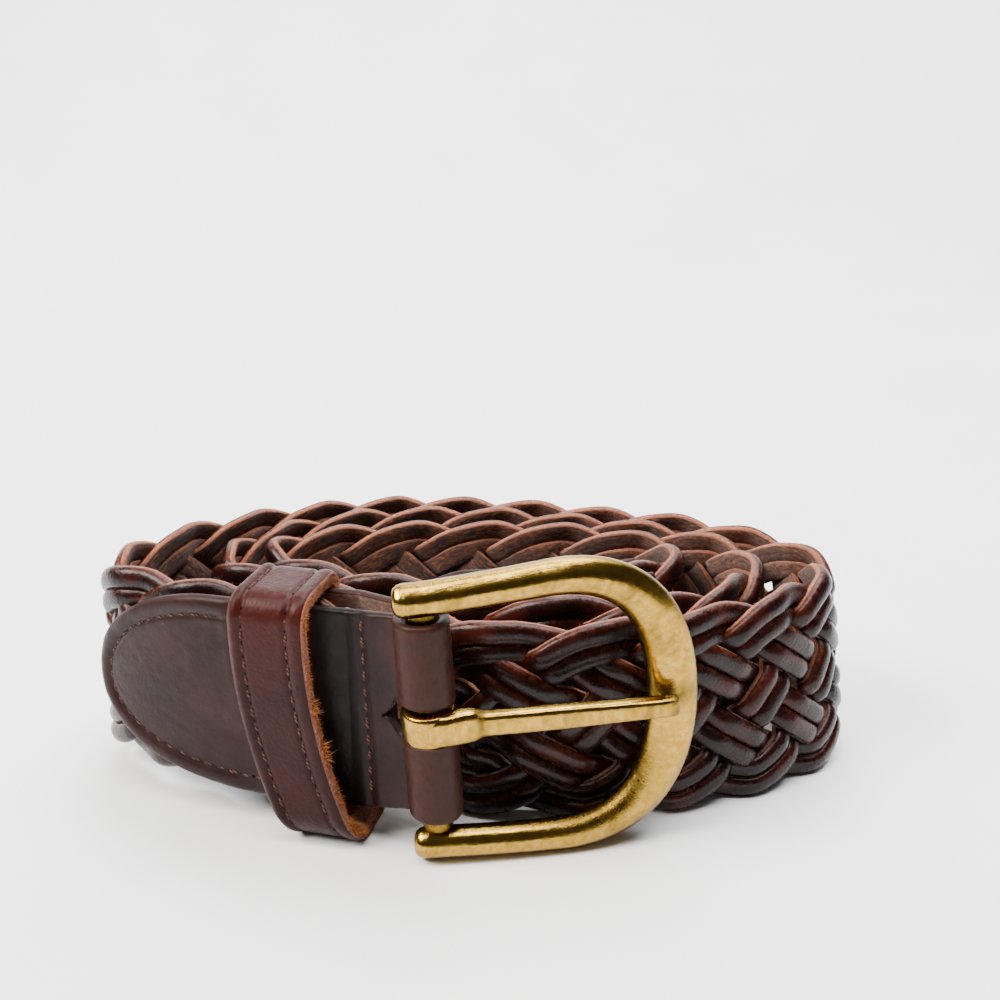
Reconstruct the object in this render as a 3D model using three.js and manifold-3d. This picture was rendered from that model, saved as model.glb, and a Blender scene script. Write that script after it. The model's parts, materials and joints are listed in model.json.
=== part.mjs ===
// Braided leather belt, wound in a loose oval coil that stands on its lower edge.
// Millimetres, +Z up, +X to the right along the coil, +Y away from the buckle's side.
import * as THREE from 'three';
import { mergeVertices } from 'three/addons/utils/BufferGeometryUtils.js';
import Module from 'manifold-3d';

const wasm = await Module();
wasm.setup();

// Braided strap
const strapLength = 676;
const strapWidth = 35;
const strapThick = 4.4;
const edgeRound = 1.5;
const edgeScallop = 1.7;
const braidPitch = 14.5;
const lowerEdgeLag = 0.22;

// Coil, measured from the buckle's bar to the middle of the outermost turn
const coilLeft = 56.5;
const coilRight = 71.2;
const coilDepth = 68;
const turnGap = 0.45;

// Leather of the buckle tab, the tip and the keeper
const leatherThick = 1.6;
const seatGap = 0.3;
const tabLength = 46.5;
const tabWidth = 34.2;
const tabNoseUpper = 24;
const tabNoseLower = 34;
const tabBackLength = 19;
const tabSlope = 11;
const tabStraight = 0.42;
const foldWidth = 33.1;
const foldRise = 0.8;
const foldSetback = 8.2;
const braidStart = 11.5;
const strapSag = 0.9;
const foldCreaseAngle = 168;
const slotLeftReach = 6.6;
const slotRightReach = 5.9;
const slotFrontReach = 7.9;
const slotBackReach = 7.3;
const tipLength = 46;
const tipOverlap = 14;
const tipNoseLength = 17;
const tipClosing = 9;
const keeperWidth = 12;
const keeperThick = 2.1;
const keeperPlace = 8.5;
const keeperLean = 9.5;
const keeperBulge = 2.6;
const keeperFrontRoom = 2.4;
const keeperBackRoom = 0.9;
const keeperCorner = 3.4;

// Brass buckle
const barRadius = 2.3;
const barGap = 0.3;
const heelSpan = 41;
const bowSpan = 44;
const footReach = 1.4;
const footForward = 1.3;
const armStraight = 18;
const bowReach = 36.9;
const bowHandle = 0.66;
const footRound = 2.4;
const armWide = 5.2;
const armDeep = 5;
const toeWide = 7.8;
const frontBow = 0.9;
const toeSetback = 5.6;
const buckleLean = 3.2;

// Prong
const prongCurlWidth = 5.2;
const prongCurlThick = 1.7;
const prongWide = 3.7;
const prongDeep = 2.8;
const prongTipWide = 3.1;
const prongRootSide = 1.5;
const prongArch = 1.2;
const prongOverToe = 0.4;
const prongSlotRoom = 0.6;

// Colours
const grainBrown = 0x2e1d1f;
const tabBrown = 0x4b3a39;
const keeperBrown = 0x4d2b29;
const brassGold = 0xb5933f;

const radians = THREE.MathUtils.degToRad;
const lerp = THREE.MathUtils.lerp;
const turnPitch = strapThick + turnGap;
const seatOffset = strapThick / 2 + seatGap + leatherThick / 2;
const foldRadius = barRadius + barGap + leatherThick / 2;
const frontClear = foldRadius + leatherThick / 2 + turnGap + strapThick / 2;

// Closed body through a row of rings, each counter-clockwise as seen from ahead of it.
function loft(rings) {
  const around = rings[0].length;
  const index = [];
  for (let i = 0; i < rings.length - 1; i += 1) {
    for (let j = 0; j < around; j += 1) {
      const a = i * around + j;
      const b = i * around + ((j + 1) % around);
      index.push(a, b, b + around, a, b + around, a + around);
    }
  }
  const last = (rings.length - 1) * around;
  for (let j = 1; j < around - 1; j += 1) {
    index.push(0, j + 1, j);
    index.push(last, last + j, last + j + 1);
  }
  const geometry = new THREE.BufferGeometry();
  const places = rings.flat().flatMap((p) => [p.x, p.y, p.z]);
  geometry.setAttribute('position', new THREE.Float32BufferAttribute(places, 3));
  geometry.setIndex(index);
  return geometry;
}

// Turns a closed geometry into a solid that can be joined or cut, and back.
function toSolid(geometry) {
  const bare = geometry.clone();
  bare.deleteAttribute('normal');
  bare.deleteAttribute('uv');
  const merged = mergeVertices(bare, 1e-4);
  return new wasm.Manifold(new wasm.Mesh({
    numProp: 3,
    vertProperties: new Float32Array(merged.attributes.position.array),
    triVerts: new Uint32Array(merged.index.array),
  }));
}

function toGeometry(solid) {
  const mesh = solid.getMesh();
  const geometry = new THREE.BufferGeometry();
  geometry.setAttribute('position', new THREE.BufferAttribute(new Float32Array(mesh.vertProperties), 3));
  geometry.setIndex([...mesh.triVerts]);
  return geometry;
}

function makeMesh(name, geometry, color, metalness, roughness) {
  const material = new THREE.MeshStandardMaterial({ color, metalness, roughness, flatShading: true });
  const mesh = new THREE.Mesh(geometry, material);
  mesh.name = name;
  return mesh;
}

// Ring of a bar of oval section, its wide axis across the way and its deep axis to the front.
function ovalRing(centre, across, front, halfWide, halfDeep, sides) {
  const ring = [];
  for (let i = 0; i < sides; i += 1) {
    const angle = (2 * Math.PI * (i + 0.5)) / sides;
    ring.push(centre.clone()
      .addScaledVector(across, halfWide * Math.cos(angle))
      .addScaledVector(front, halfDeep * Math.sin(angle)));
  }
  return ring;
}

// How far the frame lies behind the bar's axis, at a reach from it.
function frameDepth(x) {
  const share = Math.max(0, x) / bowReach;
  return lerp(-footForward, toeSetback, share) - frontBow * Math.sin(Math.PI * share);
}

// Middle line of the frame in its own plane, from the upper foot round the toe to the lower foot.
function framePath() {
  const path = new THREE.CurvePath();
  const heel = heelSpan / 2;
  const bow = bowSpan / 2;
  const flare = (bow - heel) / 2;
  // Shares of the flare: how far inside the bow's half span the arm ends, and how far the toe's
  // curve and the arm's own are led past it.
  const armInside = 0.3;
  const lead = 0.9;
  const armLead = 0.55;
  const spots = [
    new THREE.Vector2(-footReach, heel),
    new THREE.Vector2(armStraight, bow - flare * armInside),
    new THREE.Vector2(bowReach, 0),
  ];
  const upper = new THREE.CubicBezierCurve(
    spots[0],
    new THREE.Vector2(footReach, heel),
    new THREE.Vector2(armStraight * armLead, bow - flare * lead),
    spots[1],
  );
  const round = new THREE.CubicBezierCurve(
    spots[1],
    new THREE.Vector2(lerp(armStraight, bowReach, bowHandle), bow + flare * lead),
    new THREE.Vector2(bowReach, bow * bowHandle),
    spots[2],
  );
  path.add(upper);
  path.add(round);
  for (const curve of [round, upper]) {
    const mirrored = ['v3', 'v2', 'v1', 'v0'].map((key) => new THREE.Vector2(curve[key].x, -curve[key].y));
    path.add(new THREE.CubicBezierCurve(...mirrored));
  }
  return path;
}

// Horseshoe frame with its heel bar, in the buckle's own frame: bar on the Z axis, toe along +X.
function buckleFrame() {
  const path = framePath();
  const steps = 44;
  const sides = 12;
  const front = new THREE.Vector3(0, -1, 0);
  const rings = [];
  const spotAt = (share) => {
    const spot = path.getPoint(share);
    return new THREE.Vector3(spot.x, frameDepth(spot.x), spot.y);
  };
  for (let i = 0; i <= steps; i += 1) {
    const share = i / steps;
    const way = path.getTangent(share);
    const across = new THREE.Vector3(-way.y, 0, way.x);
    const centre = spotAt(share);
    const toeShare = Math.pow(Math.max(0, centre.x) / bowReach, 3);
    const wide = lerp(armWide, toeWide, toeShare);
    rings.push(ovalRing(centre, across, front, wide / 2, armDeep / 2, sides));
  }
  // Each foot ends in two smaller rings. out: share of the foot's rounding. size: share of the arm.
  const footRings = [{ out: 0.76, size: 0.86 }, { out: 1, size: 0.55 }];
  for (const { out, size } of footRings) {
    for (const sign of [1, -1]) {
      const centre = new THREE.Vector3(-footReach - out * footRound, -footForward, (sign * heelSpan) / 2);
      const across = new THREE.Vector3(0, 0, sign);
      const ring = ovalRing(centre, across, front, (size * armWide) / 2, (size * armDeep) / 2, sides);
      if (sign > 0) {
        rings.unshift(ring);
      } else {
        rings.push(ring);
      }
    }
  }
  const bar = new THREE.CylinderGeometry(barRadius, barRadius, heelSpan, 16);
  bar.rotateX(Math.PI / 2);
  return toGeometry(toSolid(loft(rings)).add(toSolid(bar)));
}

// Prong: a curl round the bar and a blade whose tip rests on the toe's front.
function prong() {
  const curlInner = barRadius + barGap;
  const curlOuter = curlInner + prongCurlThick;
  const curlShape = new THREE.Shape().absarc(0, 0, curlOuter, 0, 2 * Math.PI);
  curlShape.holes.push(new THREE.Path().absarc(0, 0, curlInner, 0, 2 * Math.PI, true));
  const curl = new THREE.ExtrudeGeometry(curlShape, {
    depth: prongCurlWidth,
    bevelEnabled: false,
    curveSegments: 24,
  });
  curl.translate(0, 0, -prongCurlWidth / 2);
  const toeFace = frameDepth(bowReach) - armDeep / 2;
  const tipReach = bowReach + prongOverToe;
  const tipY = toeFace - seatGap - prongDeep / 2;
  const rootX = curlInner + prongCurlThick / 2;
  // at: share of the way from the root to the tip. wide: across the blade. deep: share of its depth.
  const stations = [
    { at: 0, wide: prongCurlWidth, deep: 0.92 },
    { at: 0.08, wide: prongCurlWidth, deep: 1 },
    { at: 0.14, wide: prongWide, deep: 1 },
    { at: 0.5, wide: prongWide, deep: 1 },
    { at: 0.9, wide: prongTipWide, deep: 0.95 },
    { at: 0.98, wide: prongTipWide, deep: 0.85 },
    { at: 1, wide: prongTipWide * 0.8, deep: 0.6 },
  ];
  const across = new THREE.Vector3(0, 0, 1);
  const front = new THREE.Vector3(0, -1, 0);
  const rings = stations.map(({ at, wide, deep }) => {
    const x = lerp(rootX, tipReach, at);
    const y = lerp(-prongRootSide, tipY, Math.pow(at, prongArch));
    return ovalRing(new THREE.Vector3(x, y, 0), across, front, wide / 2, (deep * prongDeep) / 2, 10);
  });
  return toGeometry(toSolid(curl).add(toSolid(loft(rings))));
}

const buckle = new THREE.Group();
buckle.add(makeMesh('buckle_frame', buckleFrame(), brassGold, 1, 0.32));
buckle.add(makeMesh('prong', prong(), brassGold, 1, 0.28));
buckle.rotation.y = -radians(buckleLean);

// The bar's middle lies as high as the leaning frame needs to stand on the floor.
const barMid = -new THREE.Box3().setFromObject(buckle, true).min.z;
buckle.position.z = barMid;

// One row for each place that sets the strap's way, from the buckle inwards. layers: turns
// pressed outside it. slack: loose room, a share of that side's reach. at: where it lies along its
// side, a share of the depth or of the right reach. slope: degrees that the strap slants into the
// coil there. arrive, leave: how far it keeps that way before and after, a share of the span.
// pitch: length of one hump of the braid, a share of its usual one. lean: degrees that the top
// leans into the coil. lift: height of the lower edge, a share of its height at the buckle.
const passes = [
  { side: 'left', layers: 0, slack: 0, at: 0.43, slope: 0, arrive: 0.4, leave: 0.27, pitch: 1, lean: 3, lift: 0.6 },
  { side: 'back', layers: 0, slack: 0, at: -0.1, slope: 0, arrive: 0.5, leave: 0.5, pitch: 0.97, lean: 3, lift: 0 },
  { side: 'right', layers: 0, slack: 0, at: 0.51, slope: 0, arrive: 0.6, leave: 0.6, pitch: 1.05, lean: 8, lift: 0 },
  { side: 'front', layers: 0, slack: 0.03, at: 0.24, slope: 0, arrive: 0.42, leave: 0.4, pitch: 1.2, lean: 0, lift: 0 },
  { side: 'front', layers: 0, slack: 0.2, at: -0.17, slope: 26, arrive: 0.25, leave: 0.4, pitch: 1.1, lean: 0, lift: 0 },
  { side: 'left', layers: 1, slack: 0.2, at: 0.56, slope: 0, arrive: 0.42, leave: 0.55, pitch: 1, lean: 3, lift: 0 },
  { side: 'back', layers: 1, slack: 0.02, at: -0.06, slope: 0, arrive: 0.5, leave: 0.5, pitch: 0.97, lean: 2.5, lift: 0 },
  { side: 'right', layers: 1, slack: 0.13, at: 0.54, slope: 0, arrive: 0.6, leave: 0.6, pitch: 1, lean: 4, lift: 0 },
  { side: 'front', layers: 1, slack: 0.08, at: 0.42, slope: 0, arrive: 0.4, leave: 0.2, pitch: 1.1, lean: 1, lift: 0 },
  { side: 'left', layers: 2, slack: 0.26, at: 0.605, slope: 0, arrive: 0.42, leave: 0.6, pitch: 1, lean: 2, lift: 0 },
  { side: 'back', layers: 2, slack: 0.06, at: 0, slope: 0, arrive: 0.5, leave: 0.5, pitch: 0.97, lean: 2, lift: 0 },
  { side: 'right', layers: 2, slack: 0.25, at: 0.61, slope: 0, arrive: 0.8, leave: 0.75, pitch: 1, lean: 3, lift: 0 },
  { side: 'front', layers: 2, slack: 0.18, at: 0.24, slope: 0, arrive: 0.5, leave: 0.4, pitch: 1, lean: 1, lift: 0 },
  { side: 'left', layers: 3, slack: 0.27, at: 0.6, slope: 0, arrive: 0.4, leave: 0.5, pitch: 1, lean: 0, lift: 0 },
];

// The outermost point of one pass, in plan.
function passPoint({ side, layers, slack, at }) {
  const inset = layers * turnPitch;
  if (side === 'left') {
    return new THREE.Vector2(-(coilLeft * (1 - slack) - inset), coilDepth * at);
  }
  if (side === 'right') {
    return new THREE.Vector2(coilRight * (1 - slack) - inset, coilDepth * at);
  }
  if (side === 'back') {
    return new THREE.Vector2(coilRight * at, coilDepth * (1 - slack) - inset);
  }
  return new THREE.Vector2(coilRight * at, frontClear + coilDepth * slack + inset);
}

// Cubic arc between two passes, which leaves and arrives along the strap's way at each.
function passArc(from, to) {
  const span = to.point.clone().sub(from.point);
  const leave = from.way.clone().multiplyScalar(from.leave * Math.abs(span.dot(from.way)));
  const arrive = to.way.clone().multiplyScalar(to.arrive * Math.abs(span.dot(to.way)));
  return new THREE.CubicBezierCurve(
    from.point,
    from.point.clone().add(leave),
    to.point.clone().sub(arrive),
    to.point,
  );
}

// The strap's middle line in plan, with what the passes' columns say along it.
function makeRoute() {
  const ways = { left: [0, 1], back: [1, 0], right: [0, -1], front: [-1, 0] };
  const slope = radians(tabSlope);
  const start = {
    point: new THREE.Vector2(-braidStart, foldSetback),
    way: new THREE.Vector2(-Math.cos(slope), Math.sin(slope)),
    leave: tabStraight,
    pitch: passes[0].pitch,
    lean: 0,
    lift: barMid - strapSag - strapWidth / 2,
  };
  const knots = [start];
  for (const pass of passes) {
    const way = new THREE.Vector2(...ways[pass.side]);
    way.rotateAround(new THREE.Vector2(), -radians(pass.slope));
    knots.push({ ...pass, lift: pass.lift * start.lift, point: passPoint(pass), way });
  }
  const path = new THREE.CurvePath();
  for (let i = 1; i < knots.length; i += 1) {
    path.add(passArc(knots[i - 1], knots[i]));
  }
  const marks = [0, ...path.getCurveLengths()];
  const total = marks.at(-1);

  return function routeAt(s) {
    const u = THREE.MathUtils.clamp(s / total, 0, 1);
    const i = Math.min(knots.length - 2, Math.max(0, marks.findIndex((mark) => mark > s) - 1));
    const share = THREE.MathUtils.smoothstep(s, marks[i], marks[i + 1]);
    const blend = (column) => lerp(knots[i][column], knots[i + 1][column], share);
    const tangent = path.getTangent(u);
    return {
      point: path.getPoint(u),
      tangent,
      outward: new THREE.Vector2(-tangent.y, tangent.x),
      pitch: blend('pitch') * braidPitch,
      lean: Math.tan(radians(blend('lean'))),
      lift: blend('lift'),
    };
  };
}

const routeAt = makeRoute();

// Height of the braid's edge between 0 in a hollow and 1 on the flat crest of a hump.
function hump(phase) {
  const crestHalf = 0.13;
  const fromCrest = Math.abs(phase - Math.round(phase));
  const fall = Math.max(0, (fromCrest - crestHalf) / (0.5 - crestHalf));
  return 0.5 + 0.5 * Math.cos(Math.PI * fall);
}

// Ring across the strap, with both edges rounded and their height set by the braid's humps.
function strapRing(s, phase) {
  const { point, outward, lean, lift } = routeAt(s);
  const half = strapThick / 2;
  const flat = half - edgeRound;
  const low = lift + edgeScallop * (1 - hump(phase + lowerEdgeLag));
  const high = lift + strapWidth - edgeScallop * (1 - hump(phase));
  const outline = [
    [half, low + edgeRound], [half, high - edgeRound], [flat, high], [-flat, high],
    [-half, high - edgeRound], [-half, low + edgeRound], [-flat, low], [flat, low],
  ];
  return outline.map(([n, z]) => {
    const across = n - lean * (z - lift);
    return new THREE.Vector3(point.x + outward.x * across, point.y + outward.y * across, z);
  });
}

function braidedStrap() {
  const crestShares = [0.13, 0.3, 0.5, 0.7, 0.87];
  const rings = [];
  let s = 0;
  for (let count = 0; s < strapLength; count += 1) {
    const before = crestShares[count % crestShares.length];
    const wrap = count % crestShares.length === crestShares.length - 1 ? 1 : 0;
    const after = crestShares[(count + 1) % crestShares.length] + wrap;
    rings.push(strapRing(s, before));
    s += routeAt(s).pitch * (after - before);
  }
  rings.push(strapRing(strapLength, crestShares[0]));
  return loft(rings);
}

// Rings of a leather wall that follows a line of plan points, mitred where the line bends.
function wallRings(line, thick) {
  return line.map((spot, i) => {
    const before = line[Math.max(0, i - 1)];
    const after = line[Math.min(line.length - 1, i + 1)];
    const into = i === 0 ? after.point.clone().sub(spot.point) : spot.point.clone().sub(before.point);
    const out = i === line.length - 1 ? into.clone() : after.point.clone().sub(spot.point);
    into.normalize();
    out.normalize();
    const mean = into.clone().add(out).normalize();
    const reach = thick / 2 / Math.max(0.5, mean.dot(into));
    const side = new THREE.Vector2(-mean.y, mean.x).multiplyScalar(reach);
    const corner = (sign, z) => {
      const shift = -spot.lean * (z - spot.base);
      return new THREE.Vector3(
        spot.point.x + side.x * sign + spot.leanWay.x * shift,
        spot.point.y + side.y * sign + spot.leanWay.y * shift,
        z,
      );
    };
    return [corner(1, spot.low), corner(1, spot.high), corner(-1, spot.high), corner(-1, spot.low)];
  });
}

// Half height of a rounded leather end, at a distance from its nose.
function noseHalf(fromNose, noseLength) {
  const share = THREE.MathUtils.clamp(1 - fromNose / noseLength, 0, 1);
  return (tabWidth / 2) * Math.sqrt(1 - share * share);
}

// Place of a leather wall beside the strap: side +1 is its outer face, -1 its inner one.
function wallSpot(s, side, offset, lower = tabWidth / 2, upper = lower) {
  const at = routeAt(s);
  const mid = at.lift + strapWidth / 2;
  return {
    point: at.point.clone().addScaledVector(at.outward, side * offset),
    low: mid - lower,
    high: mid + upper,
    lean: at.lean,
    leanWay: at.outward,
    base: at.lift,
  };
}

// Distances from a rounded nose at which its outline is cut into rings.
function noseSteps(noseLength) {
  return [0.012, 0.06, 0.14, 0.25, 0.4, 0.6, 0.8, 1].map((share) => share * noseLength);
}

// Leather folded round the buckle's bar, which holds the braid's end between its two walls.
function buckleTab() {
  const line = [];
  for (const fromNose of noseSteps(tabNoseLower)) {
    const lower = noseHalf(fromNose, tabNoseLower);
    const upper = noseHalf(fromNose, tabNoseUpper);
    line.push(wallSpot(tabLength - fromNose, 1, seatOffset, lower, upper));
  }
  const straight = tabLength - tabNoseLower;
  const straightSteps = 2;
  for (let i = 1; i <= straightSteps; i += 1) {
    line.push(wallSpot(straight * (1 - i / straightSteps), 1, seatOffset));
  }
  const foldBase = barMid + foldRise - foldWidth / 2;
  const foldSpot = (x, y) => ({
    point: new THREE.Vector2(x, y),
    low: foldBase,
    high: foldBase + foldWidth,
    lean: Math.tan(radians(buckleLean)),
    leanWay: new THREE.Vector2(1, 0),
    base: barMid,
  });
  const backStart = wallSpot(0, -1, seatOffset);
  const backAngle = Math.atan2(backStart.point.y, backStart.point.x)
    - Math.acos(foldRadius / backStart.point.length());
  const turn = 2 * Math.PI + backAngle - radians(foldCreaseAngle);
  const foldSteps = 14;
  for (let i = 0; i <= foldSteps; i += 1) {
    const angle = radians(foldCreaseAngle) + (turn * i) / foldSteps;
    line.push(foldSpot(foldRadius * Math.cos(angle), foldRadius * Math.sin(angle)));
  }
  const backSteps = 3;
  for (let i = 0; i <= backSteps; i += 1) {
    line.push(wallSpot((tabBackLength * i) / backSteps, -1, seatOffset));
  }
  const slotHigh = prongCurlWidth + 2 * prongSlotRoom;
  const slot = new THREE.BoxGeometry(slotLeftReach + slotRightReach, slotFrontReach + slotBackReach, slotHigh);
  slot.translate((slotRightReach - slotLeftReach) / 2, (slotBackReach - slotFrontReach) / 2, barMid);
  return toGeometry(toSolid(loft(wallRings(line, leatherThick))).subtract(toSolid(slot)));
}

// Plain leather end over the strap's inner end, its two walls closing beyond the braid.
function strapTip() {
  const first = strapLength - tipOverlap;
  const last = first + tipLength;
  const closed = seatGap / 2 + leatherThick / 2;
  const closedAt = strapLength + tipClosing;
  const offsetAt = (s) => lerp(seatOffset, closed, THREE.MathUtils.smoothstep(s, strapLength, closedAt));
  const halfAt = (s) => noseHalf(last - s, tipNoseLength);
  const stops = [];
  const overlapSteps = 4;
  for (let i = 0; i <= overlapSteps; i += 1) {
    stops.push(first + (tipOverlap * i) / overlapSteps);
  }
  const closingSteps = 3;
  for (let i = 1; i <= closingSteps; i += 1) {
    stops.push(strapLength + (tipClosing * i) / closingSteps);
  }
  for (const fromNose of noseSteps(tipNoseLength).reverse()) {
    stops.push(last - fromNose);
  }
  const outer = stops.map((s) => wallSpot(s, 1, offsetAt(s), halfAt(s)));
  const inner = stops.map((s) => wallSpot(s, -1, offsetAt(s), halfAt(s))).reverse();
  return loft(wallRings([...outer, ...inner], leatherThick));
}

// Corners and sides of the keeper's loop, as places (across, up) with the way out of it.
function keeperLoop(left, low, right, high, corner) {
  const cornerSteps = 3;
  const sideSteps = 6;
  const corners = [
    { x: right - corner, z: low + corner, start: -90 },
    { x: right - corner, z: high - corner, start: 0 },
    { x: left + corner, z: high - corner, start: 90 },
    { x: left + corner, z: low + corner, start: 180 },
  ];
  const loop = [];
  corners.forEach(({ x, z, start }, k) => {
    for (let i = 0; i <= cornerSteps; i += 1) {
      const angle = radians(start + (90 * i) / cornerSteps);
      const out = new THREE.Vector2(Math.cos(angle), Math.sin(angle));
      loop.push({ spot: new THREE.Vector2(x, z).addScaledVector(out, corner), out });
    }
    const from = loop.at(-1);
    const next = corners[(k + 1) % corners.length];
    const goal = new THREE.Vector2(next.x, next.z).addScaledVector(from.out, corner);
    for (let i = 1; i < sideSteps; i += 1) {
      loop.push({ spot: from.spot.clone().lerp(goal, i / sideSteps), out: from.out });
    }
  });
  return loop;
}

// Loose leather loop round the tab, sunk to the floor, pushed askew and bowed.
function keeper() {
  const at = routeAt(keeperPlace);
  const tabFace = seatOffset + leatherThick / 2;
  const high = at.lift + strapWidth + seatGap + keeperThick;
  const loop = keeperLoop(
    -tabFace - keeperBackRoom - keeperThick,
    0,
    tabFace + keeperFrontRoom + keeperThick,
    high,
    keeperCorner,
  );
  // How far the loop stands off its own middle along the strap, at a height.
  const askew = (z) => {
    const share = z / high;
    return (z - high / 2) * Math.tan(radians(keeperLean)) + keeperBulge * (4 * share * (1 - share) - 0.5);
  };
  const around = loop.length;
  const places = [];
  const index = [];
  loop.forEach(({ spot, out }, i) => {
    const inner = spot.clone().addScaledVector(out, -keeperThick);
    const corners = [[spot, 0.5], [spot, -0.5], [inner, -0.5], [inner, 0.5]];
    for (const [{ x, y }, share] of corners) {
      const along = askew(y) + share * keeperWidth;
      const flat = at.point.clone().addScaledVector(at.outward, x).addScaledVector(at.tangent, along);
      places.push(flat.x, flat.y, y);
    }
    for (let j = 0; j < 4; j += 1) {
      const a = 4 * i + j;
      const b = 4 * i + ((j + 1) % 4);
      const ahead = 4 * ((i + 1) % around);
      const c = ahead + ((j + 1) % 4);
      const d = ahead + j;
      index.push(a, b, c, a, c, d);
    }
  });
  const geometry = new THREE.BufferGeometry();
  geometry.setAttribute('position', new THREE.Float32BufferAttribute(places, 3));
  geometry.setIndex(index);
  return geometry;
}

const belt = new THREE.Group();
belt.add(makeMesh('braided_strap', braidedStrap(), grainBrown, 0, 0.5));
belt.add(makeMesh('buckle_tab', buckleTab(), tabBrown, 0, 0.45));
belt.add(makeMesh('keeper', keeper(), keeperBrown, 0, 0.45));
belt.add(makeMesh('strap_tip', strapTip(), tabBrown, 0, 0.45));
belt.add(buckle);

// The origin is the middle of the belt's footprint on the floor.
belt.updateMatrixWorld(true);
const extent = new THREE.Box3().setFromObject(belt, true);
const middle = extent.getCenter(new THREE.Vector3());
belt.position.set(-middle.x, -middle.y, -extent.min.z);
belt.updateMatrixWorld(true);

export default belt;
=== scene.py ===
"""Braided leather belt with an aged brass buckle, coiled on a pale table."""

import json
import math

import bpy
import numpy as np
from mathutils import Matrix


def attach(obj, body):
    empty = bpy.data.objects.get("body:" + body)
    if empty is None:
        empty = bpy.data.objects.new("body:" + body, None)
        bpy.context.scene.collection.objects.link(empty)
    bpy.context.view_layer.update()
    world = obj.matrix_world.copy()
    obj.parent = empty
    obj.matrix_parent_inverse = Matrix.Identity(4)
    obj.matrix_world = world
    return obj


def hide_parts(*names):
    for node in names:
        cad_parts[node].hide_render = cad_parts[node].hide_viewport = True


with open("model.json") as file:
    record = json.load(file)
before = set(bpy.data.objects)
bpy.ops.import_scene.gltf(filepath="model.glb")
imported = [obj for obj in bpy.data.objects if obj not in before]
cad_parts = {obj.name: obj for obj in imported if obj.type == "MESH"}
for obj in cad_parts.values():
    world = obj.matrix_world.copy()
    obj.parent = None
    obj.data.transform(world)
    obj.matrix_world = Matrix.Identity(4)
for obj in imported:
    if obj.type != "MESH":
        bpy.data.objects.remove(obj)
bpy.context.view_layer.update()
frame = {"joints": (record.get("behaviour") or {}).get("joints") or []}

# The bar of the buckle, in millimetres, is where every length below is measured from.
bar = np.array(frame["joints"][0]["pos_m"]) * 1000
bar_mid = bar[2]
dice = np.random.default_rng(35)


# Camera

# Where the camera stood, from the bar, and how far it looked down.
camera_stand = np.array([bar[0] + 10.5, bar[1] - 149.7, 113.0])
camera_down = 20.0
camera_lens = 41.4
camera_sensor = 36


def set_camera():
    data = bpy.data.cameras.new("camera")
    data.lens = camera_lens
    data.sensor_width = camera_sensor
    data.clip_start = 0.01
    camera = bpy.data.objects.new("camera", data)
    camera.location = camera_stand * 0.001
    camera.rotation_euler = (math.radians(90 - camera_down), 0, 0)
    bpy.context.scene.collection.objects.link(camera)
    bpy.context.scene.camera = camera


set_camera()


# Sizes in millimetres, the same as in the part's source

strap_length = 676
strap_width = 35
strap_thick = 4.4
braid_pitch = 14.5
coil_left = 56.5
coil_right = 71.2
coil_depth = 68
turn_gap = 0.45
leather_thick = 1.6
seat_gap = 0.3
tab_length = 46.5
tab_width = 34.2
tab_nose_upper = 24
tab_nose_lower = 34
tab_back = 19
tab_slope = 11
tab_straight = 0.42
fold_width = 33.1
fold_rise = 0.8
fold_setback = 8.2
braid_start = 11.5
strap_sag = 0.9
fold_crease = 168
tip_length = 46
tip_overlap = 14
tip_nose = 17
tip_closing = 9
keeper_width = 12
keeper_thick = 2.1
keeper_place = 8.5
keeper_lean = 9.5
keeper_bulge = 2.6
keeper_front_room = 2.4
keeper_back_room = 0.9
keeper_corner = 3.4
bar_radius = 2.3
bar_gap = 0.3
heel_span = 41
bow_span = 44
foot_reach = 1.4
foot_forward = 1.3
foot_round = 2.4
arm_straight = 18
bow_reach = 36.9
bow_handle = 0.66
arm_wide = 5.2
arm_deep = 5
toe_wide = 7.8
front_bow = 0.9
toe_setback = 5.6
buckle_lean = 3.2
curl_width = 5.2
curl_thick = 1.7
prong_wide = 3.7
prong_deep = 2.8
prong_tip_wide = 3.1
prong_root_side = 1.5
prong_over_toe = 0.4
prong_arch = 1.2
slot_room = 0.6
slot_left = 6.6
slot_right = 5.9
slot_front = 7.9
slot_back = 7.3

turn_pitch = strap_thick + turn_gap
seat_offset = strap_thick / 2 + seat_gap + leather_thick / 2
fold_radius = bar_radius + bar_gap + leather_thick / 2
front_clear = fold_radius + leather_thick / 2 + turn_gap + strap_thick / 2
strap_lift = bar_mid - strap_sag - strap_width / 2

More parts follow.
